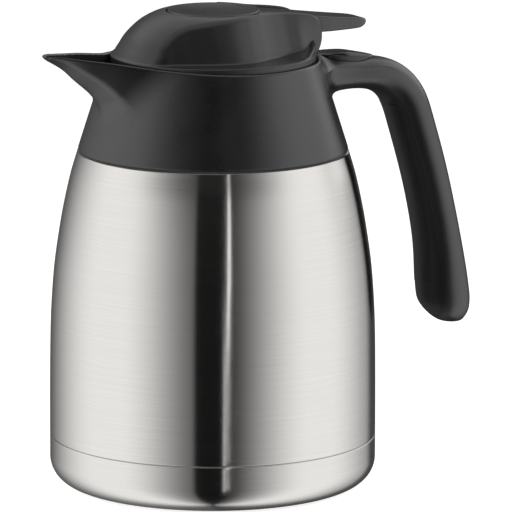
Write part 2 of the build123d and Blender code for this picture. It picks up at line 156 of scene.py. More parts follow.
class CarafeStudioSettings(bpy.types.PropertyGroup):
    """Camera and light."""

    azimuth: angle_setting("Azimuth", "Direction of the camera", -28.5)
    elevation: angle_setting("Elevation", "Camera above the horizon", 11.1)
    roll: angle_setting("Roll", "Turn of the camera about its view line", 0.17)
    distance: mm_setting("Distance", "Camera to target", 2700.0, 300, 20000)
    target_level: mm_setting("Target level", "Height the camera looks at", 93.3, -500, 500)
    target_right: mm_setting("Target shift", "How far right the camera looks", 17.5, -500, 500)
    lens: setting("Lens", "Focal length for a 36 mm sensor", 467.4, 20, "CAMERA")
    fill: setting("Fill", "Strength of the even light from all round", 0.5, 0)
    key_power: setting("Key power", "Power of the left lamp", 9.0, 0, "POWER")


SETTINGS = {
    "carafe_body": CarafeBodySettings,
    "carafe_moulding": CarafeMouldingSettings,
    "carafe_finish": CarafeFinishSettings,
    "carafe_studio": CarafeStudioSettings,
}


# ---------------------------------------------------------------- lines and fields


def eased_line(points):
    """Smooth function through (place, value) points that never overshoots them."""
    places, values = np.array(points, float).T
    steps = np.diff(places)
    slopes = np.diff(values) / steps
    tangents = np.concatenate([[slopes[0]], np.zeros(len(slopes) - 1), [slopes[-1]]])
    for index in range(1, len(slopes)):
        before, after = slopes[index - 1], slopes[index]
        if before * after > 0:
            tangents[index] = 2 * before * after / (before + after)

    def value(place):
        place = np.clip(place, places[0], places[-1])
        index = np.clip(np.searchsorted(places, place) - 1, 0, len(steps) - 1)
        width = steps[index]
        share = (place - places[index]) / width
        start = values[index] * (1 + 2 * share) * (1 - share) ** 2
        start += tangents[index] * width * share * (1 - share) ** 2
        end = values[index + 1] * share**2 * (3 - 2 * share)
        end += tangents[index + 1] * width * share**2 * (share - 1)
        return start + end

    return value


def joined(first, second, blend):
    """Union of two fields, with a fillet about as wide as the blend."""
    share = np.clip(0.5 + 0.5 * (second - first) / blend, 0, 1)
    return second + (first - second) * share - blend * share * (1 - share)


def common(first, second, blend):
    """Overlap of two fields, with its edge rounded by the blend."""
    return -joined(-first, -second, blend)


def cut(shape, tool, blend):
    """One field less another, with the new edge rounded."""
    return common(shape, -tool, blend)


def between(value, low, high):
    """Field of the slab from one value to another."""
    return np.maximum(low - value, value - high)


def eased_step(value, low, high):
    """0 below low, 1 above high, smooth between them."""
    share = np.clip((value - low) / (high - low), 0, 1)
    return share * share * (3 - 2 * share)


def rounded_outline(points, rounds):
    """Closed outline with its corners cut smooth, as an array of points."""
    line = np.array(points, float)
    for _ in range(rounds):
        following = np.roll(line, -1, axis=0)
        near = 0.75 * line + 0.25 * following
        far = 0.25 * line + 0.75 * following
        line = np.stack([near, far], 1).reshape(-1, 2)
    return line


def outline_distance(across, up, outline):
    """Distance to a closed outline, negative inside."""
    nearest = np.full(across.shape, 1e9)
    inside = np.zeros(across.shape, bool)
    for (ax, az), (bx, bz) in zip(outline, np.roll(outline, -1, axis=0)):
        run_x, run_z = bx - ax, bz - az
        length2 = run_x**2 + run_z**2
        share = np.clip(((across - ax) * run_x + (up - az) * run_z) / length2, 0, 1)
        off_x, off_z = across - ax - share * run_x, up - az - share * run_z
        nearest = np.minimum(nearest, off_x**2 + off_z**2)
        if abs(run_z) > 1e-9:
            crosses = (az > up) != (bz > up)
            inside ^= crosses & (across < ax + run_x * (up - az) / run_z)
    nearest = np.sqrt(nearest)
    return np.where(inside, -nearest, nearest)


def side_distance(line):
    """Distance to a closed side outline, read from a fine table."""
    outline = np.array(line)
    low = outline.min(0) - 4
    high = outline.max(0) + 4
    step = 0.1
    counts = np.ceil((high - low) / step).astype(int) + 1
    lines = [low[axis] + step * np.arange(counts[axis]) for axis in range(2)]
    table = outline_distance(*np.meshgrid(*lines, indexing="ij"), outline)

    def distance(x, z):
        column = np.clip((x - low[0]) / step, 0, counts[0] - 1.001)
        row = np.clip((z - low[1]) / step, 0, counts[1] - 1.001)
        i, j = column.astype(int), row.astype(int)
        u, v = column - i, row - j
        value = table[i, j] * (1 - u) * (1 - v) + table[i + 1, j] * u * (1 - v)
        return value + table[i, j + 1] * (1 - u) * v + table[i + 1, j + 1] * u * v

    return distance


def oval_distance(across, along, half_across, half_along):
    """Near distance to an ellipse, negative inside."""
    near = np.sqrt((across / half_across) ** 2 + (along / half_along) ** 2)
    steep = np.sqrt((across / half_across**2) ** 2 + (along / half_along**2) ** 2)
    return near * (near - 1) / np.maximum(steep, 1e-6)


def box_distance(points, low, high):
    """Field of an upright box from its corners."""
    middle = (np.array(low) + np.array(high)) / 2
    half = (np.array(high) - np.array(low)) / 2
    return (np.abs(points - middle) - half).max(1)


def section_distance(section, points, step, least):
    """Near distance from a value that is zero on the surface and no flatter than the least."""
    rise = 0
    for axis in range(3):
        offset = np.zeros(3)
        offset[axis] = step
        rise += ((section(*(points + offset).T) - section(*(points - offset).T)) / (2 * step)) ** 2
    return section(*points.T) / np.maximum(np.sqrt(rise), least)


def field_slope(field, points):
    """Slope of a field at each point."""
    slope = np.empty_like(points)
    for axis in range(3):
        offset = np.zeros(3)
        offset[axis] = SLOPE_STEP
        slope[:, axis] = (field(points + offset) - field(points - offset)) / (2 * SLOPE_STEP)
    return slope


def settled(field, points, reach, rounds):
    """Points moved onto the field's surface, no further than the reach in one round."""
    for _ in range(rounds):
        slope = field_slope(field, points)
        length2 = np.maximum((slope**2).sum(1), 1e-6)
        move = slope * (field(points) / length2)[:, None]
        size = np.linalg.norm(move, axis=1)
        move *= np.minimum(1.0, reach / np.maximum(size, 1e-9))[:, None]
        points = points - move
    return points


def field_grid(field, low, high, cell):
    """Values of a field on a grid, worked out only near its surface."""
    block = GRID_BLOCK
    low = np.array(low, float)
    counts = np.ceil((np.array(high, float) - low) / (cell * block)).astype(int)
    centres = np.stack(np.meshgrid(*[np.arange(count) for count in counts], indexing="ij"), -1)
    centres = low + (centres.reshape(-1, 3) + 0.5) * block * cell
    coarse = field(centres).reshape(counts)
    near = np.abs(coarse) < 1.3 * block * cell
    repeat = np.ones((block, block, block))
    grid = np.pad(np.kron(np.where(coarse < 0, -1.0, 1.0), repeat), ((0, 1),) * 3, mode="edge")
    wanted = np.pad(np.kron(near, repeat) > 0, ((0, 1),) * 3)
    for axis in range(3):
        wanted |= np.roll(wanted, 1, axis=axis)
    nodes = np.argwhere(wanted)
    for start in range(0, len(nodes), GRID_BATCH):
        part = nodes[start : start + GRID_BATCH]
        grid[tuple(part.T)] = field(low + part * cell)
    return grid


def field_surface(field, low, high, cell):
    """Points and quads of the closed surface where a field is zero."""
    grid = field_grid(field, low, high, cell)
    inside = grid < 0
    corners = [(i, j, k) for i in (0, 1) for j in (0, 1) for k in (0, 1)]
    size = np.array(grid.shape) - 1
    total = np.zeros(size, np.int8)
    for i, j, k in corners:
        total += inside[i : i + size[0], j : j + size[1], k : k + size[2]]
    cells = np.argwhere((total > 0) & (total < 8))
    keys = np.ravel_multi_index(cells.T, size)
    summed = np.zeros((len(cells), 3))
    crossings = np.zeros(len(cells))
    for start in corners:
        for axis in range(3):
            if start[axis]:
                continue
            end = list(start)
            end[axis] = 1
            first = grid[tuple((cells + start).T)]
            second = grid[tuple((cells + end).T)]
            crosses = (first < 0) != (second < 0)
            share = np.where(crosses, first / np.where(crosses, first - second, 1), 0)
            place = np.array(start) + share[:, None] * (np.array(end) - start)
            summed += place * crosses[:, None]
            crossings += crosses
    points = np.array(low, float) + (cells + summed / crossings[:, None]) * cell
    quads = []
    for axis in range(3):
        near, far = [slice(None)] * 3, [slice(None)] * 3
        near[axis], far[axis] = slice(0, -1), slice(1, None)
        changes = inside[tuple(near)] != inside[tuple(far)]
        edges = np.argwhere(changes)
        enters = inside[tuple(edges.T)]
        side, other = (axis + 1) % 3, (axis + 2) % 3
        ring = []
        for back_side, back_other in ((1, 1), (0, 1), (0, 0), (1, 0)):
            corner = edges.copy()
            corner[:, side] -= back_side
            corner[:, other] -= back_other
            ring.append(np.searchsorted(keys, np.ravel_multi_index(corner.T, size)))
        ring = np.stack(ring, 1)
        quads.append(np.where(enters[:, None], ring, ring[:, ::-1]))
    return points, np.concatenate(quads)


# ---------------------------------------------------------------- pieces


def new_piece(name, mesh, body, nodes, material):
    """Object for a finished mesh, riding on its body in place of CAD nodes."""
    old = bpy.data.objects.get(name)
    if old is not None:
        bpy.data.objects.remove(old)
    mesh.name = name
    piece = bpy.data.objects.new(name, mesh)
    bpy.context.scene.collection.objects.link(piece)
    mesh.materials.clear()
    mesh.materials.append(material)
    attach(piece, body)
    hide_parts(*nodes)
    return piece


def mesh_from_arrays(points, faces):
    """Blender mesh from arrays of points and of faces with equal corner counts."""
    mesh = bpy.data.meshes.new("surface")
    sides = faces.shape[1]
    mesh.vertices.add(len(points))
    mesh.vertices.foreach_set("co", points.astype(np.float32).ravel())
    mesh.loops.add(faces.size)
    mesh.loops.foreach_set("vertex_index", faces.astype(np.int32).ravel())
    mesh.polygons.add(len(faces))
    starts = np.arange(0, faces.size, sides, dtype=np.int32)
    mesh.polygons.foreach_set("loop_start", starts)
    mesh.polygons.foreach_set("use_smooth", np.ones(len(faces), bool))
    mesh.update(calc_edges=True)
    mesh.validate()
    return mesh


def shaped_mesh(data, kind, prepare):
    """Mesh that a modifier of one kind makes of a curve or a mesh, which it uses up."""
    carrier = bpy.data.objects.new("carrier", data)
    bpy.context.scene.collection.objects.link(carrier)
    prepare(carrier.modifiers.new("shape", kind))
    graph = bpy.context.evaluated_depsgraph_get()
    mesh = bpy.data.meshes.new_from_object(carrier.evaluated_get(graph))
    carrier.modifiers.clear()
    bpy.data.batch_remove([carrier, data])
    return mesh


def evened(points, quads):
    """Points moved halfway to the middle of their neighbours, which evens out the quads."""
    count = len(points)
    total = np.zeros_like(points)
    share = np.zeros(count)
    corners = quads.ravel()
    for shift in (1, -1):
        beside = np.roll(quads, shift, axis=1).ravel()
        share += np.bincount(corners, minlength=count)
        for axis in range(3):
            total[:, axis] += np.bincount(corners, weights=points[beside, axis], minlength=count)
    return 0.5 * points + 0.5 * total / np.maximum(share, 1)[:, None]


def field_mesh(field, low, high, cell):
    """Smooth mesh of a field, with the field's own normals."""
    points, quads = field_surface(field, low, high, cell)
    for _ in range(3):
        points = settled(field, evened(points, quads), 0.6 * cell, 1)
    points = settled(field, points, 0.3 * cell, 1)
    mesh = mesh_from_arrays(points * MM, quads)
    if 2 * len(quads) > MOST_TRIANGLES:
        share = MOST_TRIANGLES / (2 * len(quads))
        mesh = shaped_mesh(mesh, "DECIMATE", lambda modifier: setattr(modifier, "ratio", share))
        points = np.empty(len(mesh.vertices) * 3, np.float32)
        mesh.vertices.foreach_get("co", points)
        points = points.reshape(-1, 3).astype(float) / MM
        points = settled(field, points, 0.3 * cell, 2)
        mesh.vertices.foreach_set("co", (points * MM).astype(np.float32).ravel())
    slope = field_slope(field, points)
    slope /= np.maximum(np.linalg.norm(slope, axis=1), 1e-9)[:, None]
    mesh.polygons.foreach_set("use_smooth", np.ones(len(mesh.polygons), bool))
    mesh.normals_split_custom_set_from_vertices(slope.tolist())
    mesh.update()
    return mesh


def smooth_by_angle(mesh):
    """Smooth shading that stays crisp at sharp edges."""
    mesh.polygons.foreach_set("use_smooth", np.ones(len(mesh.polygons), bool))
    mesh.set_sharp_from_angle(angle=CREASE_ANGLE)
    mesh.update()


# ---------------------------------------------------------------- nodes


class Nodes:
    """Adds nodes to a tree. An input takes a plain value or the output that feeds it."""

    def __init__(self, tree):
        self.tree = tree

    def feed(self, node, inputs):
        """Gives a node its inputs, by name or by place."""
        for name, value in inputs.items():
            if isinstance(value, bpy.types.NodeSocket):
                self.tree.links.new(value, node.inputs[name])
            else:
                node.inputs[name].default_value = value

    def add(self, kind, inputs=None, **settings):
        """New node with its settings and inputs."""
        node = self.tree.nodes.new(kind)
        for name, value in settings.items():
            setattr(node, name, value)
        self.feed(node, inputs or {})
        return node

    def maths(self, operation, first, second=0.0):
        """Result of a Math node on two numbers."""
        node = self.add("ShaderNodeMath", {0: first, 1: second}, operation=operation)
        return node.outputs["Value"]

    def eased(self, source, low, high, first=0.0, second=1.0):
        """Smooth change from one number to another while the source goes from low to high."""
        node = self.add("ShaderNodeMapRange", {"Value": source}, interpolation_type="SMOOTHSTEP")
        self.feed(node, {"From Min": low, "From Max": high, "To Min": first, "To Max": second})
        return node.outputs["Result"]

    def mixed(self, factor, first, second):
        """Colour between two colours."""
        inputs = {"Factor": factor, "A": first, "B": second}
        return self.add("ShaderNodeMix", inputs, data_type="RGBA").outputs["Result"]

    def pattern(self, scale, detail=2.0):
        """Noise on the piece's own coordinates, with a scale for each axis."""
        place = self.add("ShaderNodeTexCoord").outputs["Object"]
        mapped = self.add("ShaderNodeMapping", {"Vector": place, "Scale": scale}).outputs["Vector"]
        noise = {"Vector": mapped, "Scale": 1.0, "Detail": detail}
        return self.add("ShaderNodeTexNoise", noise).outputs["Fac"]

    def spread(self, source, low, high):
        """Noise turned into a number between low and high."""
        return self.eased(source, 0.25, 0.75, low, high)

    def tinted(self, source, colour, low, high):
        """Colour made darker and lighter by noise."""
        ends = [(*[min(1, channel * share) for channel in colour], 1) for share in (low, high)]
        return self.mixed(self.spread(source, 0, 1), *ends)

    def bumped(self, source, depth, strength):
        """Fine relief from noise, with its depth in metres."""
        relief = {"Distance": depth, "Strength": strength, "Height": source}
        return self.add("ShaderNodeBump", relief).outputs["Normal"]


def plain_grey(level):
    """Grey of one level, as a colour with its alpha."""
    return level, level, level, 1


def geometry_tree(name, sockets):
    """New tree with named inputs, given with their kinds; its nodes and its inputs' outputs."""
    tree = bpy.data.node_groups.new(name, "GeometryNodeTree")
    for label, kind in sockets.items():
        tree.interface.new_socket(label, in_out="INPUT", socket_type="NodeSocket" + kind)
    tree.interface.new_socket("Geometry", in_out="OUTPUT", socket_type="NodeSocketGeometry")
    nodes = Nodes(tree)
    return nodes, nodes.add("NodeGroupInput").outputs


def closed_tree(nodes, geometry, finish):
    """The tree, ended in real meshes with their finish."""
    real = nodes.add("GeometryNodeRealizeInstances", {"Geometry": geometry}).outputs["Geometry"]
    painted = nodes.add("GeometryNodeSetMaterial", {"Geometry": real, "Material": finish})
    nodes.add("NodeGroupOutput", {"Geometry": painted.outputs["Geometry"]})
    return nodes.tree


def tree_mesh(data, tree, values):
    """Mesh that a geometry tree makes of a curve or a mesh, with the tree's inputs by name."""

    def prepare(modifier):
        modifier.node_group = tree
        for socket in tree.interface.items_tree:
            if socket.in_out == "INPUT" and socket.name in values:
                modifier[socket.identifier] = values[socket.name]

    mesh = shaped_mesh(data, "NODES", prepare)
    smooth_by_angle(mesh)
    return mesh


# ---------------------------------------------------------------- finishes


FINISH_PREFIX = "carafe_"

MOULDINGS = {
    # colour, roughness, grain size in mm, grain strength, change of tint, shine
    "black_plastic": ("plastic", 0.28, 0.35, 0.1, 0.12, 1.0),
    # the cover's black: a coarser grain than the collar's, and a lower shine that is painted shade
    # darkening the lid
    "crown_black": ("plastic", 0.35, 0.35, 0.12, 0.12, 0.84),
    # inside the spout's channel and the well: rougher and almost without shine, a painted shade
    # that darkens these hollows
    "inner_black": ("plastic", 0.7, 0.5, 0.3, 0.12, 0.08),
    "gloss_black": ("gloss", 0.2, 0.8, 0.05, 0.12, 0.7),
    "grey_plastic": ("grey", 0.45, 0.4, 0.2, 0.12, 0.5),
    "soft_black": ("rubber", 0.75, 0.6, 0.4, 0.12, 0.5),
    "clear_silicone": ("silicone", 0.42, 0.7, 0.15, 0.05, 0.5),
}

# how far from the bar's middle each step of painted shade on the finger side begins, and its share:
# a rougher black with less shine that darkens the handle's inner side
PAINTED_SHADE_STEPS = [(-1.8, 0.25), (-3.0, 0.5), (-4.2, 0.75), (-5.2, 1.0)]


def new_material(name):
    """Material with its nodes and an empty Principled shader."""
    material = bpy.data.materials.new(FINISH_PREFIX + name)
    material.use_nodes = True
    material.node_tree.nodes.clear()
    nodes = Nodes(material.node_tree)
    shader = nodes.add("ShaderNodeBsdfPrincipled")
    nodes.add("ShaderNodeOutputMaterial", {"Surface": shader.outputs["BSDF"]})
    return material, nodes, shader


def brushed_steel():
    """Outer steel, brushed round the body."""
    material, nodes, shader = new_material("brushed_steel")
    colour = bpy.context.scene.carafe_finish.steel
    lines = nodes.pattern((18, 18, 3000), 4.0)
    tangent = nodes.add("ShaderNodeTangent", direction_type="RADIAL", axis="Z")
    nodes.feed(shader, {"Metallic": 1.0, "Anisotropic": 0.97, "Anisotropic Rotation": 0.25})
    nodes.feed(shader, {"Base Color": nodes.tinted(lines, colour, 0.965, 1.02)})
    nodes.feed(shader, {"Roughness": nodes.spread(lines, 0.145, 0.19)})
    nodes.feed(shader, {"Tangent": tangent.outputs["Tangent"]})
    return material


def plain_steel():
    """Drawn steel of the flask's inside and of the small hardware."""
    material, nodes, shader = new_material("plain_steel")
    colour = bpy.context.scene.carafe_finish.plain_steel
    grain = nodes.pattern((300, 300, 1800), 3.0)
    nodes.feed(shader, {"Metallic": 1.0, "Normal": nodes.bumped(grain, 0.00003, 0.3)})
    nodes.feed(shader, {"Base Color": nodes.tinted(grain, colour, 0.92, 1.05)})
    nodes.feed(shader, {"Roughness": nodes.spread(grain, 0.28, 0.36)})
    return material


def moulded(name, colour, roughness, grain_size, grain_strength, tint, shine):
    """Moulded plastic, rubber or silicone with a fine eroded texture."""
    material, nodes, shader = new_material(name)
    colour = getattr(bpy.context.scene.carafe_finish, colour)
    fine = 1 / (grain_size * MM)
    relief = nodes.bumped(nodes.pattern((fine, fine, fine)), grain_size * MM * 0.3, grain_strength)
    cloud = nodes.pattern((60, 60, 60))
    nodes.feed(shader, {"Specular IOR Level": shine, "Normal": relief})
    nodes.feed(shader, {"Base Color": nodes.tinted(cloud, colour, 1 - tint, 1 + tint)})
    nodes.feed(shader, {"Roughness": nodes.spread(cloud, roughness - 0.03, roughness + 0.03)})
    if name == "clear_silicone":
        nodes.feed(shader, {"Subsurface Weight": 0.25, "Subsurface Radius": (0.002, 0.002, 0.0018)})
    return material


STEELS = {"brushed_steel": brushed_steel, "plain_steel": plain_steel}


def finish(name, *recipe):
    """Finish by its name, made when it is first asked for."""
    ready = bpy.data.materials.get(FINISH_PREFIX + name)
    if ready is not None:
        return ready
    if name in STEELS:
        return STEELS[name]()
    return moulded(name, *(recipe or MOULDINGS[name]))


def painted_shade_grip_black(share):
    """Rougher black with less shine for the finger side, or a step of the way there from the satin
    black: painted shade on the handle's inner side.
    """
    recipe = [0.28 + 0.22 * share, 0.35 + 0.05 * share, 0.1 + 0.15 * share, 0.12, 1 - 0.7 * share]
    return finish(f"grip_black_{round(100 * share)}", "plastic", *recipe)


# ---------------------------------------------------------------- steel body


RAIL_RADIUS = 0.001
FOOT_RADIUS = 50.4
SHOULDER_LEVEL = 136.9
EDGE_ROUND = 0.35
SEAM_LAP = 4.0
SEAM_FIT = 0.1

# radius, level
SHOULDER_RING = [(54.6, 137.2), (52.3, 137.2), (52.3, 136.6)]
FOOT_RECESS = [(51.0, 2.6), (3.1, 2.6), (3.1, 2.0), (FOOT_RADIUS, 2.0)]


def turned_mesh(section, segments):
    """Mesh of a closed section of (radius, level) points, turned about the upright axis."""
    curve = bpy.data.curves.new("section", "CURVE")
    curve.dimensions = "3D"
    spline = curve.splines.new("POLY")
    spline.points.add(len(section) - 1)
    spline.use_cyclic_u = True
    for point, (radius, level) in zip(spline.points, reversed(section)):
        point.co = (radius * MM - RAIL_RADIUS, -level * MM, 0, 1)
    sockets = {"Geometry": "Geometry", "Segments": "Int", "Finish": "Material"}
    nodes, given = geometry_tree("turned_wall", sockets)
    circle = {"Radius": RAIL_RADIUS, "Resolution": given["Segments"]}
    rail = nodes.add("GeometryNodeCurvePrimitiveCircle", circle, mode="RADIUS").outputs["Curve"]
    lines = {"Curve": rail, "Profile Curve": given["Geometry"]}
    wall = nodes.add("GeometryNodeCurveToMesh", lines).outputs["Mesh"]
    smooth = nodes.add("GeometryNodeSetShadeSmooth", {"Geometry": wall}).outputs["Geometry"]
    tree = closed_tree(nodes, smooth, given["Finish"])
    return tree_mesh(curve, tree, {"Segments": segments, "Finish": finish("brushed_steel")})


def arc_points(centre, radius, first, last, steps):
    """Points along an arc in the section plane, from one angle to another in degrees."""
    angles = np.radians(np.linspace(first, last, steps + 1))
    return [(centre[0] + radius * math.cos(a), centre[1] + radius * math.sin(a)) for a in angles]


# level, radius lost there
BODY_LINE = [
    (34.0, 0.0), (54.0, 0.13), (67.0, 0.4), (86.5, 1.57), (106.5, 4.25), (126.3, 8.25),
    (137.0, 11.35),
]


def shell_section(settings):
    """Section of the outer shell's wall and shoulder."""
    radius, sheet = settings.radius, settings.sheet
    wall = [(level, radius - lost) for level, lost in BODY_LINE]
    line = eased_line([(settings.seam_level, radius)] + wall)
    bottom = settings.seam_level + settings.seam_gap
    edge = bottom + EDGE_ROUND
    levels = np.linspace(edge, SHOULDER_LEVEL, 64)
    outer = [(float(line(level)), float(level)) for level in levels]
    inner = [(place - sheet, level) for place, level in reversed(outer)]
    section = arc_points((radius - EDGE_ROUND, edge), EDGE_ROUND, -90, -10, 4) + outer
    return section + SHOULDER_RING + inner + [(radius - sheet, bottom)]


def base_section(settings):
    """Section of the base cup with its foot, its recess and the lip inside the shell."""
    radius, sheet, top = settings.radius, settings.sheet, settings.seam_level
    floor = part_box("base_cup")[0][2] / MM
    centre = (radius - settings.foot_round, floor + settings.foot_round)
    lip = radius - sheet - SEAM_FIT
    section = [(FOOT_RADIUS, floor)]
    section += arc_points(centre, settings.foot_round, -90, 0, 28)
    section += [(radius, level) for level in np.linspace(centre[1] + 1, top - EDGE_ROUND, 8)]
    section += arc_points((radius - EDGE_ROUND, top - EDGE_ROUND), EDGE_ROUND, 10, 90, 4)
    section += [(lip, top), (lip, top + SEAM_LAP), (radius - 2 * sheet - SEAM_FIT, top + SEAM_LAP)]
    section += [(radius - 2 * sheet - SEAM_FIT, centre[1])]
    section += arc_points(centre, settings.foot_round - sheet - SEAM_FIT, 0, -90, 12)[1:]
    return section + [(FOOT_RECESS[0][0], floor + sheet)] + FOOT_RECESS


class CARAFE_OT_steel_body(bpy.types.Operator):
    """Turns the outer shell and the base cup"""

    bl_idname = "carafe.steel_body"
    bl_label = "Steel body"

    def execute(self, context):
        settings = context.scene.carafe_body
        walls = {
            "steel_shell": ("outer_shell", shell_section),
            "steel_base": ("base_cup", base_section),
        }
        steel = finish("brushed_steel")
        for name, (node, section) in walls.items():
            mesh = turned_mesh(section(settings), settings.segments)
            new_piece(name, mesh, "carafe", [node], steel)
        return {"FINISHED"}


# ---------------------------------------------------------------- collar


COLLAR_BOTTOM = 137.8
COLLAR_WALL = 2.4
HOLLOW_TOP = 159.0
WELL_FLOOR = 161.5
MOUTH_RADIUS = 33.3
MOUTH_BOTTOM = 158.0
SPOUT_REACH = (-76.85, -12.0)
CHANNEL_REACH = (-75.6, -20.0)

# x, share of the half width at which the spout's sides turn under
CHINE_SHARE = [-72, -58, -36], [0.42, 0.6, 0.86]

SPOUT_STATIONS = [
    # x, rim level, half width, keel level
    (-14.0, 174.7, 36.0, 145.0), (-22.0, 175.1, 32.6, 145.3), (-30.0, 175.5, 29.0, 146.0),
    (-36.5, 176.1, 25.4, 148.0), (-43.0, 177.0, 21.9, 151.0), (-49.5, 178.1, 18.4, 157.2),
    (-56.0, 179.1, 14.9, 164.4), (-62.5, 179.9, 11.4, 169.9), (-68.5, 180.7, 8.1, 175.2),
    (-73.0, 181.2, 5.6, 178.0), (-75.6, 181.3, 3.8, 179.5), (-76.9, 181.3, 1.8, 180.6),
]

CHANNEL_STATIONS = [
    (-27.0, 175.5, 28.0, 161.9), (-36.5, 176.1, 23.4, 161.9), (-43.0, 177.0, 19.9, 162.2),
    (-49.5, 178.1, 16.4, 163.6), (-56.0, 179.1, 12.9, 167.6), (-62.5, 179.9, 9.4, 172.6),
    (-68.5, 180.7, 6.2, 177.4), (-73.0, 181.2, 3.9, 179.4), (-75.2, 181.3, 2.4, 180.5),
]

RIM_STATIONS = [
    (-80.0, 181.3), (-74.0, 181.3), (-68.5, 180.7), (-62.5, 179.9), (-56.0, 179.1), (-49.5, 178.1),
    (-43.0, 177.0), (-36.5, 176.1), (-30.0, 175.6), (-21.0, 175.1), (-12.0, 174.7), (0.0, 174.4),
    (60.0, 174.4),
]

HANDLE_STATIONS = [
    # x, level, half thickness, half width
    (40.0, 164.0, 8.6, 15.5), (49.0, 164.2, 7.9, 13.6), (57.0, 164.3, 7.0, 12.4),
    (66.0, 163.9, 6.5, 12.2), (75.7, 162.5, 7.3, 12.2), (83.8, 157.9, 8.2, 12.2),
    (88.7, 151.0, 8.7, 12.2), (91.6, 143.1, 8.8, 12.2), (97.3, 124.5, 8.8, 12.2),
    (102.4, 104.0, 8.9, 12.2), (105.7, 86.0, 9.7, 12.2), (107.3, 73.0, 10.75, 12.0),
    (108.4, 65.0, 10.9, 11.6),
]

HANDLE_START = 38.0
TOE_LEVEL = 65.0
TOE_RINGS = [
    # below the toe level, shift outward, share of the full section
    (-8.0, -1.2, 1.0), (-3.0, -0.45, 0.995), (0.0, 0.1, 0.965), (2.9, 1.0, 0.875),
    (5.5, 1.9, 0.73), (7.4, 2.6, 0.57), (8.5, 3.2, 0.43), (9.2, 3.9, 0.2), (9.35, 4.1, 0.0),
]

REST_X = 59.3
REST_HALF_LENGTH = 14.2
REST_HALF_WIDTH = 8.0
REST_TOP = 173.5
REST_GAP = 0.1
PAD_FLOOR = 169.4
POCKET_FLOOR = 169.3
STALK_HALVES = (12.2, 6.6)
STALK_REACH = (167.6, 170.0)
STALK_POCKET_HALVES = (12.4, 6.8)
STALK_POCKET_FLOOR = 167.4


def station_lines(stations):
    """Smooth lines of rim, half width and keel along the spout."""
    ordered = sorted(stations)
    return [eased_line([(row[0], row[column]) for row in ordered]) for column in (1, 2, 3)]


def trough_field(stations, chined=False):
    """Field of a solid with sections across the spout: U-shaped, or with a chine on each side."""
    rim_line, width_line, keel_line = station_lines(stations)

    def section(x, y, z):
        width = np.maximum(width_line(x), 0.5)
        rim = rim_line(x)
        depth = np.maximum(rim - keel_line(x), 0.5)
        down = np.maximum((rim - z) / depth, 0.0)
        if not chined:
            return (y / width) ** 2 + down**0.92 - 1
        across = np.abs(y / width)
        keel = np.sqrt(across**2 + 0.02) - 0.141
        chine = np.interp(x, *CHINE_SHARE)
        return common(across + 0.25 * down / chine - 1, (1 - chine) * keel / 0.62 + down - 1, 0.11)

    return lambda points: section_distance(section, points, 0.2, 0.02)


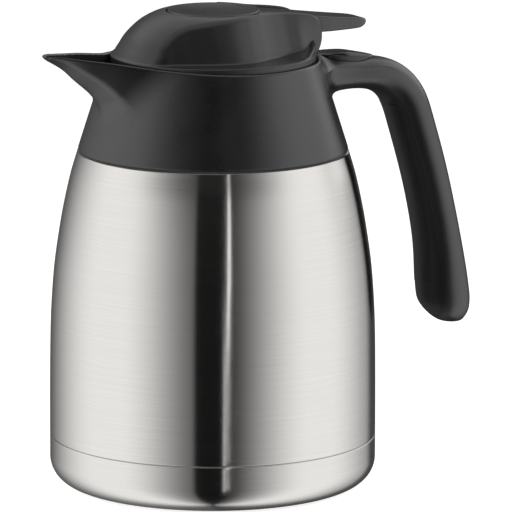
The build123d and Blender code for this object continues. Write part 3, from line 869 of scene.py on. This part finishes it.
class Bar:
    """The handle's bent bar: its middle line in the mirror plane and its oval sections."""

    def __init__(self, stations):
        rows = np.array(stations)
        run = np.concatenate([[0], np.cumsum(np.hypot(*np.diff(rows[:, :2], axis=0).T))])
        fine = np.arange(0, run[-1] + 0.1, 0.25)
        x, z = self.smooth(run, rows[:, 0], fine), self.smooth(run, rows[:, 1], fine)
        length = np.concatenate([[0], np.cumsum(np.hypot(np.diff(x), np.diff(z)))])
        angle = np.unwrap(np.arctan2(np.gradient(z, length), np.gradient(x, length)))
        self.length, self.x, self.z, self.angle = length, x, z, angle
        self.bend = np.gradient(angle, length)
        self.thick = self.smooth(run, rows[:, 2], fine)
        self.wide = self.smooth(run, rows[:, 3], fine)

    @staticmethod
    def smooth(places, values, wanted):
        """Curve with even bends through the values."""
        count = len(places)
        gap = np.diff(places)
        system = np.zeros((count, count))
        known = np.zeros(count)
        system[0, 0] = system[-1, -1] = 1
        for index in range(1, count - 1):
            before, after = gap[index - 1], gap[index]
            system[index, index - 1 : index + 2] = before, 2 * (before + after), after
            rise = (values[index + 1] - values[index]) / after
            known[index] = 6 * (rise - (values[index] - values[index - 1]) / before)
        bends = np.linalg.solve(system, known)
        index = np.clip(np.searchsorted(places, wanted) - 1, 0, count - 2)
        width = gap[index]
        after, before = (wanted - places[index]) / width, (places[index + 1] - wanted) / width
        result = before * values[index] + after * values[index + 1]
        result += (before**3 - before) * bends[index] * width**2 / 6
        return result + (after**3 - after) * bends[index + 1] * width**2 / 6

    def nearest(self, x, z):
        """Distance along the middle line of the place nearest to each point."""
        grid = 1.0
        low_x, low_z = 30.0, 50.0
        columns, rows = 96, 136
        if not hasattr(self, "table"):
            lines = low_x + grid * np.arange(columns), low_z + grid * np.arange(rows)
            gx, gz = np.meshgrid(*lines, indexing="ij")
            gaps = (gx[..., None] - self.x[::4]) ** 2 + (gz[..., None] - self.z[::4]) ** 2
            self.table = self.length[::4][gaps.argmin(-1)]
        column = np.clip(((x - low_x) / grid).round().astype(int), 0, columns - 1)
        row = np.clip(((z - low_z) / grid).round().astype(int), 0, rows - 1)
        return self.table[column, row]

    def place(self, points):
        """How far along the bar points are, and how far outward from its middle line."""
        x, _, z = points.T
        along = self.nearest(x, z)

        def off_line():
            angle = np.interp(along, self.length, self.angle)
            off_x = x - np.interp(along, self.length, self.x)
            off_z = z - np.interp(along, self.length, self.z)
            cos, sin = np.cos(angle), np.sin(angle)
            return off_x * cos + off_z * sin, off_z * cos - off_x * sin

        for _ in range(3):
            ahead, aside = off_line()
            bend = 1 - np.interp(along, self.length, self.bend) * aside
            along = np.clip(along + ahead / np.maximum(bend, 0.3), 0, self.length[-1])
        return along, off_line()[1]

    def field(self, points):
        """Field of the bar, without its toe."""
        x, y, _ = points.T
        along, aside = self.place(points)
        thick = np.interp(along, self.length, self.thick)
        wide = np.interp(along, self.length, self.wide)
        square = eased_step(aside, 0.0, 4.0) * (1 - eased_step(x, 68.0, 88.0))
        corner = np.minimum(2 * np.abs(y * aside) / (thick * wide), 1.1)
        fuller = 1 + 0.09 * square * corner**2
        return oval_distance(aside / fuller, y / fuller, thick, wide)


BAR = Bar(HANDLE_STATIONS)
TOE_SHIFT = eased_line([(lower, shift) for lower, shift, _ in TOE_RINGS])
TOE_SHARE = eased_line([(lower, share) for lower, _, share in TOE_RINGS] + [(9.8, -0.5)])


def toe_section(x, y, z):
    """Section value of the rounded toe, below zero inside."""
    lower = TOE_LEVEL - z
    middle = HANDLE_STATIONS[-1][0] + TOE_SHIFT(lower)
    near = np.sqrt(((x - middle) / 11.0) ** 2 + (y / 11.6) ** 2)
    return near - TOE_SHARE(lower)


def handle_field(points):
    """Field of the whole handle with its toe."""
    bar = np.maximum(BAR.field(points), HANDLE_START - points[:, 0])
    toe = section_distance(toe_section, points, 0.1, 0.025)
    share = eased_step(points[:, 2], 64.0, 69.0)
    return share * bar + (1 - share) * toe


COVER_LAP = 1.0
COVER_RISE = 0.12
COVER_DEPTH = 2.2
COVER_HALF_WIDTH = 7.0
COVER_REACH = (73.0, 150.4)
COVER_LINE = [(x - half + 2.4, level) for x, level, half, _ in HANDLE_STATIONS[5:13]]
COVER_OUTLINE = np.array(COVER_LINE + [(70.0, 60.0), (60.0, 110.0), (66.0, 160.0)])


def cover_zone(points):
    """Field of the block that holds the strip on the finger side of the handle."""
    x, y, z = points.T
    zone = np.maximum(outline_distance(x, z, COVER_OUTLINE), np.abs(y) - COVER_HALF_WIDTH)
    return np.maximum(zone, between(z, *COVER_REACH))


def rest_oval(points, half_length, half_width):
    """Field of the upright oval at the thumb rest."""
    return oval_distance(points[:, 0] - REST_X, points[:, 1], half_length, half_width)


def collar_field(settings):
    """Field of the collar with spout and handle."""
    slope = settings.cone_slope
    lean = math.hypot(1, slope)
    rim_line = eased_line(RIM_STATIONS)
    beak = trough_field(SPOUT_STATIONS, chined=True)
    channel = trough_field(CHANNEL_STATIONS)

    def field(points):
        x, y, z = points.T
        radius = np.hypot(x, y)
        cone = (radius - settings.cone_radius + slope * (z - COLLAR_BOTTOM)) / lean
        spout = np.maximum(beak(points), between(x, *SPOUT_REACH))
        shape = joined(common(cone, COLLAR_BOTTOM - z, 0.8), spout, settings.flank_blend)
        shape = joined(shape, handle_field(points), settings.handle_blend)
        shape = common(shape, z - rim_line(x), 0.9)
        hollow = common(cone + COLLAR_WALL, z - HOLLOW_TOP, 5.0)
        shape = np.maximum(shape, -hollow)
        well = common(radius - settings.well_radius, WELL_FLOOR - z, 1.2)
        groove = np.maximum(channel(points), between(x, *CHANNEL_REACH))
        shape = cut(shape, joined(well, groove, 2.0), 0.7)
        mouth = np.maximum(radius - MOUTH_RADIUS, MOUTH_BOTTOM - z)
        shape = np.maximum(shape, -mouth)
        shape = np.maximum(shape, -(cover_zone(points) + COVER_LAP))
        oval = rest_oval(points, REST_HALF_LENGTH + REST_GAP, REST_HALF_WIDTH + REST_GAP)
        pocket = np.maximum(oval, POCKET_FLOOR - z)
        stalk_pocket = rest_oval(points, *STALK_POCKET_HALVES)
        stalk_pocket = np.maximum(stalk_pocket, STALK_POCKET_FLOOR - z)
        return cut(shape, np.minimum(pocket, stalk_pocket), 0.3)

    return field


class CARAFE_OT_collar(bpy.types.Operator):
    """Moulds the collar with its spout and handle"""

    bl_idname = "carafe.collar"
    bl_label = "Collar, spout and handle"

    def execute(self, context):
        settings = context.scene.carafe_moulding
        mesh = field_mesh(collar_field(settings), (-79, -57, 54), (122, 57, 184), settings.cell)
        plastic = finish("black_plastic")
        new_piece("collar_moulding", mesh, "carafe", ["collar"], plastic)
        # Faces inside the spout's channel and the well take a second black with almost no shine:
        # painted shade in the hollows.
        mesh.materials.append(finish("inner_black"))
        centres = np.empty(len(mesh.polygons) * 3, np.float32)
        mesh.polygons.foreach_get("center", centres)
        centres = centres.reshape(-1, 3).astype(float) / MM
        x, y, z = centres.T
        radius = np.hypot(x, y)
        channel = trough_field(CHANNEL_STATIONS)(centres)
        # faces inside the spout's channel and the well, below the rim, which get the painted shade
        inside = (channel < 0.3) & (x < -20) | (radius < settings.well_radius + 0.3)
        inside &= z < eased_line(RIM_STATIONS)(x) - 0.5
        slots = inside.astype(np.int32)
        # Painted shade: in steps towards the finger side, the bar gets rougher blacks with less
        # shine.
        on_bar = (x > 57) & (radius > 60)
        aside = BAR.place(centres)[1]
        for slot, (limit, share) in enumerate(PAINTED_SHADE_STEPS, 2):
            mesh.materials.append(painted_shade_grip_black(share))
            slots[on_bar & (aside < limit)] = slot
        mesh.polygons.foreach_set("material_index", slots)
        return {"FINISHED"}


class CARAFE_OT_handle_cover(bpy.types.Operator):
    """Moulds the strip on the finger side of the handle"""

    bl_idname = "carafe.handle_cover"
    bl_label = "Handle cover"

    def execute(self, context):
        settings = context.scene.carafe_moulding

        def field(points):
            strip = common(handle_field(points) - COVER_RISE, cover_zone(points), 0.5)
            return np.maximum(strip, -(BAR.field(points) + COVER_DEPTH))

        mesh = field_mesh(field, (74, -9, 70), (106, 9, 153), 0.8 * settings.cell)
        # The strip takes the last step: partly a rougher grip, partly painted shade with its shine
        # cut.
        plastic = painted_shade_grip_black(1.0)
        new_piece("handle_strip", mesh, "carafe", ["handle_cover"], plastic)
        return {"FINISHED"}


class CARAFE_OT_thumb_rest(bpy.types.Operator):
    """Moulds the pad let into the top of the handle"""

    bl_idname = "carafe.thumb_rest"
    bl_label = "Thumb rest"

    def execute(self, context):
        settings = context.scene.carafe_moulding

        def field(points):
            x, y, z = points.T
            swell = 1 - ((x - REST_X) / 16) ** 2 - (y / 11) ** 2
            rise = 0.2 + 2.2 * np.maximum(swell, 0)
            oval = rest_oval(points, REST_HALF_LENGTH, REST_HALF_WIDTH)
            pad = common(common(oval, handle_field(points) - rise, 0.5), z - REST_TOP, 0.5)
            pad = np.maximum(pad, PAD_FLOOR - z)
            stalk = np.maximum(rest_oval(points, *STALK_HALVES), between(z, *STALK_REACH))
            return np.minimum(pad, stalk)

        mesh = field_mesh(field, (43, -11, 166), (75.5, 11, 174), 0.6 * settings.cell)
        new_piece("thumb_pad", mesh, "carafe", ["thumb_rest"], finish("gloss_black"))
        return {"FINISHED"}


# ---------------------------------------------------------------- stopper


CROWN_BOTTOM = 172.3
CROWN_TOP = 194.7
FLANGE_RADIUS = 41.6
FLANGE_TOP = 176.8
UPPER_FROM = 174
RECESS_RADIUS = 19.3
RECESS_FLOOR = 190.8
SLOT_HALF = 9.9
STEM_WELL = 7.8
RAMP_RADIUS = 39.9
RAMP_LEVEL = 176.4
LIP_OUTER = 41.4
LIP_INNER = 39.4
WALL_LEAN = 0.45

# x, and the value there
SPINE_CREST = [9, 43], [194.6, 192.0]
RAMP_RISE = [11, 36], [0.0, 4.4]
LIP_TOP = [20, 27, 33, 38], [176.5, 177.4, 179.8, 181.0]

CROWN_WIDTH = [
    # x, half width of the crown's upper part
    (-48.0, 22.5), (-36.3, 19.2), (-28.2, 17.4), (-22.5, 18.3), (-17.0, 20.4), (-11.2, 22.1),
    (-4.0, 22.9), (3.0, 21.9), (9.0, 19.4), (14.0, 16.8), (19.0, 14.7), (26.0, 12.9), (37.0, 12.4),
    (40.0, 12.3), (42.0, 11.8), (44.0, 10.8), (46.2, 8.0),
]

DOME_LINE = [
    # level, radius
    (172.0, 41.6), (176.4, 41.3), (177.6, 40.5), (179.5, 39.4), (181.1, 38.3), (184.1, 36.4),
    (187.0, 33.8), (190.2, 30.0), (191.8, 27.2), (193.4, 23.6), (194.7, 19.0),
]

SPINE_LINE = [
    (8.0, 174.0), (39.2, 174.0), (39.6, 174.8), (42.0, 175.1), (43.2, 176.8), (44.6, 179.2),
    (45.6, 181.6), (45.8, 183.8), (45.2, 186.2), (43.2, 188.9), (39.6, 191.1), (34.8, 192.1),
    (28.8, 192.9), (21.9, 193.5), (16.4, 194.2), (8.0, 194.7),
]

SLOT_OUTLINE = [
    (10.0, 183.6), (29.0, 183.6), (31.5, 179.9), (50.0, 179.9), (50.0, 200.0), (10.0, 200.0),
]


def crown_field():
    """Field of the stopper's cover: flange, dome, spine and rear lip."""
    width_line = eased_line(CROWN_WIDTH)
    dome_line = eased_line(DOME_LINE)
    dome_level = eased_line(sorted((radius, level) for level, radius in DOME_LINE))
    spine_side = side_distance(rounded_outline(SPINE_LINE, 2))
    slot_side = side_distance(rounded_outline(SLOT_OUTLINE, 1))
    step = 0.2

    def wall_width(x, z):
        crest = width_line(x)
        on_spine = eased_step(x, 2, 14)
        crest_level = np.interp(x, *SPINE_CREST)
        level = (1 - on_spine) * dome_level(np.hypot(x, crest)) + on_spine * crest_level
        lean = WALL_LEAN * (1 - eased_step(x, 30, 42))
        return crest + lean * np.maximum(level - z, -2)

    def upper(x, y, z):
        """Dome and spine between the scooped walls."""
        steep = (dome_line(z + step) - dome_line(z - step)) / (2 * step)
        dome = (np.hypot(x, y) - dome_line(z)) / np.hypot(1, steep)
        dome = common(dome, z - CROWN_TOP, 0.6)
        lean = (wall_width(x + step, z) - wall_width(x - step, z)) / (2 * step)
        walls = (np.abs(y) - wall_width(x, z)) / np.sqrt(1 + lean**2 + WALL_LEAN**2)
        return common(joined(dome, spine_side(x, z), 0.6), walls, 1.3)

    def base(x, y, z):
        """Flange, the ramp that rises to the rear, and the rear lip."""
        radius = np.hypot(x, y)
        below = UPPER_FROM - z
        flange = common(radius - FLANGE_RADIUS, z - FLANGE_TOP, 0.7)
        flange = common(flange, CROWN_BOTTOM - z, 0.3)
        fade = (1 - np.clip((np.abs(y) - 15) / 18, 0, 1)) ** 1.6
        rise = np.interp(x, *RAMP_RISE) * fade
        ramp = common(radius - RAMP_RADIUS, z - RAMP_LEVEL - rise, 0.5)
        ramp = np.maximum(ramp, RAMP_RISE[0][0] - x)
        lip = common(radius - LIP_OUTER, LIP_INNER - radius, 0.5)
        lip = common(lip, z - np.interp(x, *LIP_TOP), 0.9)
        lip = np.maximum(lip, LIP_TOP[0][0] - x)
        shape = np.minimum(flange, np.maximum(ramp, below))
        return joined(shape, np.maximum(lip, below), 0.6)

    def field(points):
        x, y, z = points.T
        radius = np.hypot(x, y)
        shape = joined(base(x, y, z), np.maximum(upper(x, y, z), UPPER_FROM - z), 0.8)
        recess = common(radius - RECESS_RADIUS, RECESS_FLOOR - z, 0.4)
        beside = common(np.hypot(x - 1.3, y) - RECESS_RADIUS, RECESS_FLOOR + 0.6 - z, 0.4)
        slot = np.maximum(slot_side(x, z), np.abs(y) - SLOT_HALF)
        shape = cut(shape, np.minimum(np.minimum(recess, beside), slot), 0.35)
        return np.maximum(shape, STEM_WELL - radius)

    return field


DISC_RADIUS = 18.7
DISC_BOTTOM = 191.6
DISH_RADIUS = 147.3
DISH_CENTRE = 340.88
NECK_REACH = (8, 68.6)
PIN_X, PIN_LEVEL = 27.0, 187.5
PIN_HOLE = 1.55

LEVER_LINE = [
    (12.0, 190.6), (16.0, 188.8), (20.0, 186.0), (32.0, 184.6), (43.0, 183.1), (63.0, 183.1),
    (66.0, 183.7), (68.2, 184.8), (68.6, 186.0), (67.6, 187.1), (56.0, 188.4), (46.0, 189.6),
    (36.5, 191.0), (28.0, 192.1), (20.0, 193.1), (12.0, 194.2),
]

LEVER_WIDTH = [
    (8.0, 9.5), (44.0, 9.5), (58.0, 8.1), (64.0, 7.3), (66.8, 6.2), (68.2, 4.6), (68.8, 2.0),
]


def lever_field():
    """Field of the thumb lever: dished disc, neck, paddle and the fork at the stem."""
    side = side_distance(rounded_outline(LEVER_LINE, 2))
    width_line = eased_line(LEVER_WIDTH)
    step = 0.2

    def field(points):
        x, y, z = points.T
        radius = np.hypot(x, y)
        disc = common(radius - DISC_RADIUS, DISC_BOTTOM - z, 0.6)
        dish = DISH_RADIUS - np.sqrt(radius**2 + (z - DISH_CENTRE) ** 2)
        disc = common(disc, dish, 0.8)
        lean = (width_line(x + step) - width_line(x - step)) / (2 * step)
        neck = (np.abs(y) - width_line(x)) / np.hypot(1, lean)
        neck = common(np.maximum(neck, between(x, *NECK_REACH)), side(x, z), 1.2)
        shape = joined(disc, neck, 1.0)
        shape = np.minimum(shape, box_distance(points, (-5, -5, 185.4), (5, 5, 192)))
        pocket = box_distance(points, (-6, -3.9, 187.0), (4, 3.9, 190.3))
        stem_way = box_distance(points, (-6, -2.2, 184.0), (2.4, 2.2, 188.0))
        shape = np.maximum(shape, -np.minimum(pocket, stem_way))
        return np.maximum(shape, PIN_HOLE - np.hypot(x - PIN_X, z - PIN_LEVEL))

    return field


class CARAFE_OT_stopper_cover(bpy.types.Operator):
    """Moulds the stopper's cover"""

    bl_idname = "carafe.stopper_cover"
    bl_label = "Stopper cover"

    def execute(self, context):
        settings = context.scene.carafe_moulding
        low, high = (-43.5, -43.5, 171), (46.5, 43.5, 196)
        mesh = field_mesh(crown_field(), low, high, 0.84 * settings.cell)
        # The cover's black has its shine lowered, a painted shade on the lid.
        plastic = finish("crown_black")
        new_piece("stopper_cover", mesh, "stopper", ["stopper_crown"], plastic)
        return {"FINISHED"}


class CARAFE_OT_lever(bpy.types.Operator):
    """Moulds the lever with its dished disc and thumb paddle"""

    bl_idname = "carafe.lever"
    bl_label = "Pour lever"

    def execute(self, context):
        settings = context.scene.carafe_moulding
        mesh = field_mesh(lever_field(), (-20, -20, 182), (70.5, 20, 196.5), 0.7 * settings.cell)
        plastic = finish("black_plastic")
        new_piece("thumb_lever", mesh, "lever", ["pour_lever"], plastic)
        return {"FINISHED"}


SPRING_TURNS = 7.0
COIL_RADIUS = 5.4
WIRE_RADIUS = 0.45


def coil_tree():
    """Node tree of a round-wire coil with closed ends."""
    names = ("Turns", "Coil radius", "Height", "Wire radius", "Bottom")
    sockets = {"Geometry": "Geometry", **dict.fromkeys(names, "Float"), "Finish": "Material"}
    nodes, given = geometry_tree("wire_coil", sockets)
    coil = {"Rotations": given["Turns"], "Height": given["Height"], "Resolution": 48}
    coil |= {"Start Radius": given["Coil radius"], "End Radius": given["Coil radius"]}
    coil = nodes.add("GeometryNodeCurveSpiral", coil).outputs["Curve"]
    wire = {"Resolution": 12, "Radius": given["Wire radius"]}
    wire = nodes.add("GeometryNodeCurvePrimitiveCircle", wire, mode="RADIUS").outputs["Curve"]
    lines = {"Curve": coil, "Profile Curve": wire, "Fill Caps": True}
    swept = nodes.add("GeometryNodeCurveToMesh", lines).outputs["Mesh"]
    offset = nodes.add("ShaderNodeCombineXYZ", {"Z": given["Bottom"]}).outputs["Vector"]
    place = nodes.add("GeometryNodeTransform", {"Geometry": swept, "Translation": offset})
    return closed_tree(nodes, place.outputs["Geometry"], given["Finish"])


class CARAFE_OT_spring(bpy.types.Operator):
    """Winds the valve's closing spring"""

    bl_idname = "carafe.spring"
    bl_label = "Valve spring"

    def execute(self, context):
        low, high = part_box("valve_spring")
        wire = WIRE_RADIUS * MM
        steel = finish("plain_steel")
        values = {
            "Turns": SPRING_TURNS,
            "Coil radius": COIL_RADIUS * MM,
            "Wire radius": wire,
            "Height": high.z - low.z - 2 * wire,
            "Bottom": low.z + wire,
            "Finish": steel,
        }
        mesh = tree_mesh(bpy.data.meshes.new("coil"), coil_tree(), values)
        body = frame["nodes"]["valve_spring"]["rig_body"]
        spring = new_piece("closing_spring", mesh, body, ["valve_spring"], steel)
        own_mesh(spring)
        return {"FINISHED"}


# ---------------------------------------------------------------- parts that keep their solids


KEPT_SOLIDS = {
    "plain_steel": [
        "inner_vessel", "evacuation_plug", "getter", "lever_pin", "valve_stem", "stem_clip",
    ],
    "grey_plastic": ["neck_ring", "stopper_body", "valve_disc"],
    "soft_black": ["base_pad", "collar_seal"],
    "clear_silicone": ["neck_gasket", "stopper_gasket", "stem_seal", "valve_gasket"],
}


class CARAFE_OT_finishes(bpy.types.Operator):
    """Gives the parts that keep their solids their finishes"""

    bl_idname = "carafe.finishes"
    bl_label = "Finishes of the plain parts"

    def execute(self, context):
        for name, nodes in KEPT_SOLIDS.items():
            for node in nodes:
                for slot in frame["nodes"][node].material_slots:
                    slot.material = finish(name)
        return {"FINISHED"}


# ---------------------------------------------------------------- studio


FLOOR_GLOW = 0.62
OVERHEAD = 0.6
STREAK = 2.1
STREAK_ANGLE = 10.7
STREAK_HALVES = (0.25, 1.2)
STREAK_LEAN = 0.11
LAMP_SIZE = 0.8
FLOOR_HALF = 8.0

# the two soft panels beside the camera. Each step changes a panel's brightness from one share
# to another between two directions, in degrees away from the camera's own.
AHEAD = 0.006
LEFT_PANEL = [(10.6, 14.8, 0.0, 1.0), (7, 69, 0.12, 1.0), (90, 168, 1.0, 0.1)]
RIGHT_PANEL = [(6.5, 73.5, 0.0, 1.0), (90, 150, 1.0, 0.36), (138, 153, 1.0, 0.15)]


def floor_material():
    """White floor that takes the shadow and is white to the camera elsewhere."""
    material = bpy.data.materials.new("floor")
    material.use_nodes = True
    material.node_tree.nodes.clear()
    nodes = Nodes(material.node_tree)
    diffuse = nodes.add("ShaderNodeBsdfDiffuse", {"Color": plain_grey(0.8)}).outputs["BSDF"]
    seen = nodes.add("ShaderNodeLightPath").outputs["Is Camera Ray"]
    strength = nodes.maths("MULTIPLY", seen, FLOOR_GLOW)
    glow = nodes.add("ShaderNodeEmission", {"Strength": strength}).outputs["Emission"]
    both = nodes.add("ShaderNodeAddShader", {0: diffuse, 1: glow}).outputs["Shader"]
    nodes.add("ShaderNodeOutputMaterial", {"Surface": both})
    return material


def streak(nodes, angle, height):
    """Narrow upright strip light, leaning a little and ending below the overhead light."""
    lean = nodes.maths("MULTIPLY", nodes.maths("MAXIMUM", height, -0.21), STREAK_LEAN)
    bend = nodes.eased(height, -0.2, -0.11, -0.016, 0.015)
    away = nodes.maths("SUBTRACT", nodes.maths("SUBTRACT", angle, lean), bend)
    away = nodes.maths("ABSOLUTE", nodes.maths("SUBTRACT", away, math.radians(STREAK_ANGLE)))
    across = nodes.eased(away, *map(math.radians, STREAK_HALVES), 1.0, 0.0)
    upward = nodes.eased(height, 0.34, 0.42, 1.0, 0.0)
    downward = nodes.eased(height, -0.42, -0.1)
    return nodes.maths("MULTIPLY", across, nodes.maths("MULTIPLY", upward, downward))


def ring_of_light(nodes, panels, angle, height):
    """Ring of light: dimmer ahead and higher up, brighter behind on the right above the horizon."""

    def by_angle(source, low, high, first, second):
        return nodes.eased(source, math.radians(low), math.radians(high), first, second)

    turned = nodes.maths("ABSOLUTE", angle)
    above = nodes.eased(height, 0.22, 0.38)
    dimmer = nodes.maths("SUBTRACT", by_angle(turned, 25, 90, 0.3, 1.1), 1.0)
    factor = nodes.maths("ADD", nodes.maths("MULTIPLY", above, dimmer), 1.0)
    factor = nodes.maths("MULTIPLY", factor, nodes.eased(height, 0.36, 0.58, 1.0, 0.55))
    right_back = by_angle(angle, 108, 140, 0.0, 0.75)
    right_back = nodes.maths("MULTIPLY", right_back, by_angle(angle, 158, 179, 1.0, 0.0))
    right_back = nodes.maths("MULTIPLY", right_back, nodes.eased(height, 0.02, 0.12))
    around = by_angle(turned, 100, 130, 0.0, 0.7)
    around = nodes.maths("MULTIPLY", around, nodes.eased(height, 0.34, 0.48))
    behind = nodes.maths("MAXIMUM", right_back, around)
    scaled = {0: panels, 1: factor, 2: behind}
    return nodes.add("ShaderNodeVectorMath", scaled, operation="MULTIPLY_ADD").outputs["Vector"]


def side_panels(nodes, angle):
    """Brightness of the two soft panels all the way round, dark ahead and dim behind."""
    total = AHEAD
    for side, panel in ((-1, LEFT_PANEL), (1, RIGHT_PANEL)):
        away = nodes.maths("MULTIPLY", angle, side)
        level = 1.0
        for low, high, first, second in panel:
            step = nodes.eased(away, math.radians(low), math.radians(high), first, second)
            level = nodes.maths("MULTIPLY", step, level)
        total = nodes.maths("ADD", level, total)
    return total


def make_world(settings):
    """World: white to the camera, bright sides and dark gaps to the steel, even light elsewhere."""
    world = bpy.data.worlds.new("studio")
    bpy.context.scene.world = world
    world.use_nodes = True
    world.node_tree.nodes.clear()
    nodes = Nodes(world.node_tree)
    direction = nodes.add("ShaderNodeTexCoord").outputs["Generated"]
    facing = math.radians(settings.azimuth)
    parts = []
    for axis in ((math.cos(facing), math.sin(facing), 0), (math.sin(facing), -math.cos(facing), 0)):
        dot = nodes.add("ShaderNodeVectorMath", {0: direction, 1: axis}, operation="DOT_PRODUCT")
        parts.append(dot.outputs["Value"])
    angle = nodes.maths("ARCTAN2", *parts)
    height = nodes.add("ShaderNodeSeparateXYZ", {"Vector": direction}).outputs["Z"]
    ring = ring_of_light(nodes, side_panels(nodes, angle), angle, height)
    sides = nodes.mixed(streak(nodes, angle, height), ring, plain_grey(STREAK))
    surround = nodes.mixed(nodes.eased(height, 0.64, 0.86), sides, plain_grey(OVERHEAD))
    ray = nodes.add("ShaderNodeLightPath").outputs
    mirror = nodes.maths("MAXIMUM", ray["Is Glossy Ray"], ray["Is Transmission Ray"])
    seen = nodes.mixed(mirror, plain_grey(settings.fill), surround)
    seen = nodes.mixed(ray["Is Camera Ray"], seen, plain_grey(1.0))
    background = nodes.add("ShaderNodeBackground", {"Color": seen}).outputs["Background"]
    nodes.add("ShaderNodeOutputWorld", {"Surface": background})


def placed(name, data, location, target, roll=0.0):
    """Object for a camera or a lamp, at a place and aimed at a target."""
    holder = bpy.data.objects.new(name, data)
    holder.location = location
    holder.rotation_mode = "QUATERNION"
    aim = (Vector(target) - Vector(location)).to_track_quat("-Z", "Y")
    holder.rotation_quaternion = aim @ Quaternion((0, 0, 1), roll)
    bpy.context.scene.collection.objects.link(holder)
    return holder


def make_lamp(name, power, location, target):
    """Soft square lamp that the steel doesn't mirror."""
    lamp = bpy.data.lights.new(name, "AREA")
    lamp.energy = power
    lamp.size = LAMP_SIZE
    placed(name, lamp, location, target).visible_glossy = False


def make_floor():
    """Plain floor under the carafe, which the steel doesn't mirror."""
    corners = FLOOR_HALF * np.array([(-1, -1, 0), (1, -1, 0), (1, 1, 0), (-1, 1, 0)])
    mesh = mesh_from_arrays(corners, np.array([[0, 1, 2, 3]]))
    mesh.materials.append(floor_material())
    floor = bpy.data.objects.new("studio_floor", mesh)
    floor.visible_glossy = False
    bpy.context.scene.collection.objects.link(floor)


class CARAFE_OT_studio(bpy.types.Operator):
    """Sets the floor, the light and the camera"""

    bl_idname = "carafe.studio"
    bl_label = "Studio"

    def execute(self, context):
        settings = context.scene.carafe_studio
        turn, rise = math.radians(settings.azimuth), math.radians(settings.elevation)
        level = math.cos(rise)
        towards = Vector((math.sin(turn) * level, -math.cos(turn) * level, math.sin(rise)))
        right = Vector((math.cos(turn), math.sin(turn), 0))
        target = Vector((0, 0, settings.target_level)) * MM + right * settings.target_right * MM
        location = target + towards * settings.distance * MM
        data = bpy.data.cameras.new("camera")
        data.sensor_width = 36
        data.lens = settings.lens
        data.clip_start, data.clip_end = 0.05, 50
        camera = placed("camera", data, location, target, math.radians(settings.roll))
        context.scene.camera = camera
        make_floor()
        make_world(settings)
        centre = Vector((0, 0, 0.1))
        left_side = centre - right * 0.9 + towards * 0.5 + Vector((0, 0, 0.5))
        right_side = centre + right * 1.0 + towards * 0.4 + Vector((0, 0, 0.4))
        make_lamp("left_lamp", settings.key_power, left_side, centre)
        make_lamp("right_lamp", settings.key_power * 0.7, right_side, centre)
        context.scene.view_settings.view_transform = "Standard"
        return {"FINISHED"}


# ---------------------------------------------------------------- panel and registration


class CARAFE_PT_panel(bpy.types.Panel):
    """Lists the carafe's settings and steps"""

    bl_idname = "CARAFE_PT_panel"
    bl_label = "Thermal carafe"
    bl_space_type = "VIEW_3D"
    bl_region_type = "UI"
    bl_category = "Carafe"

    def draw(self, context):
        for name, group in SETTINGS.items():
            box = self.layout.box()
            box.label(text=name.replace("_", " ").capitalize())
            for setting in group.__annotations__:
                box.prop(getattr(context.scene, name), setting)
        for step in STEPS:
            self.layout.operator(step.bl_idname)


STEPS = [
    CARAFE_OT_steel_body,
    CARAFE_OT_collar,
    CARAFE_OT_handle_cover,
    CARAFE_OT_thumb_rest,
    CARAFE_OT_stopper_cover,
    CARAFE_OT_lever,
    CARAFE_OT_spring,
    CARAFE_OT_finishes,
    CARAFE_OT_studio,
]

CLASSES = [*SETTINGS.values(), *STEPS, CARAFE_PT_panel]


def register():
    for entry in CLASSES:
        bpy.utils.register_class(entry)
    for name, group in SETTINGS.items():
        setattr(bpy.types.Scene, name, PointerProperty(type=group))


def unregister():
    for name in SETTINGS:
        delattr(bpy.types.Scene, name)
    for entry in reversed(CLASSES):
        bpy.utils.unregister_class(entry)


def main():
    register()
    for step in STEPS:
        area, action = step.bl_idname.split(".")
        getattr(getattr(bpy.ops, area), action)()


if __name__ == "__main__":
    main()
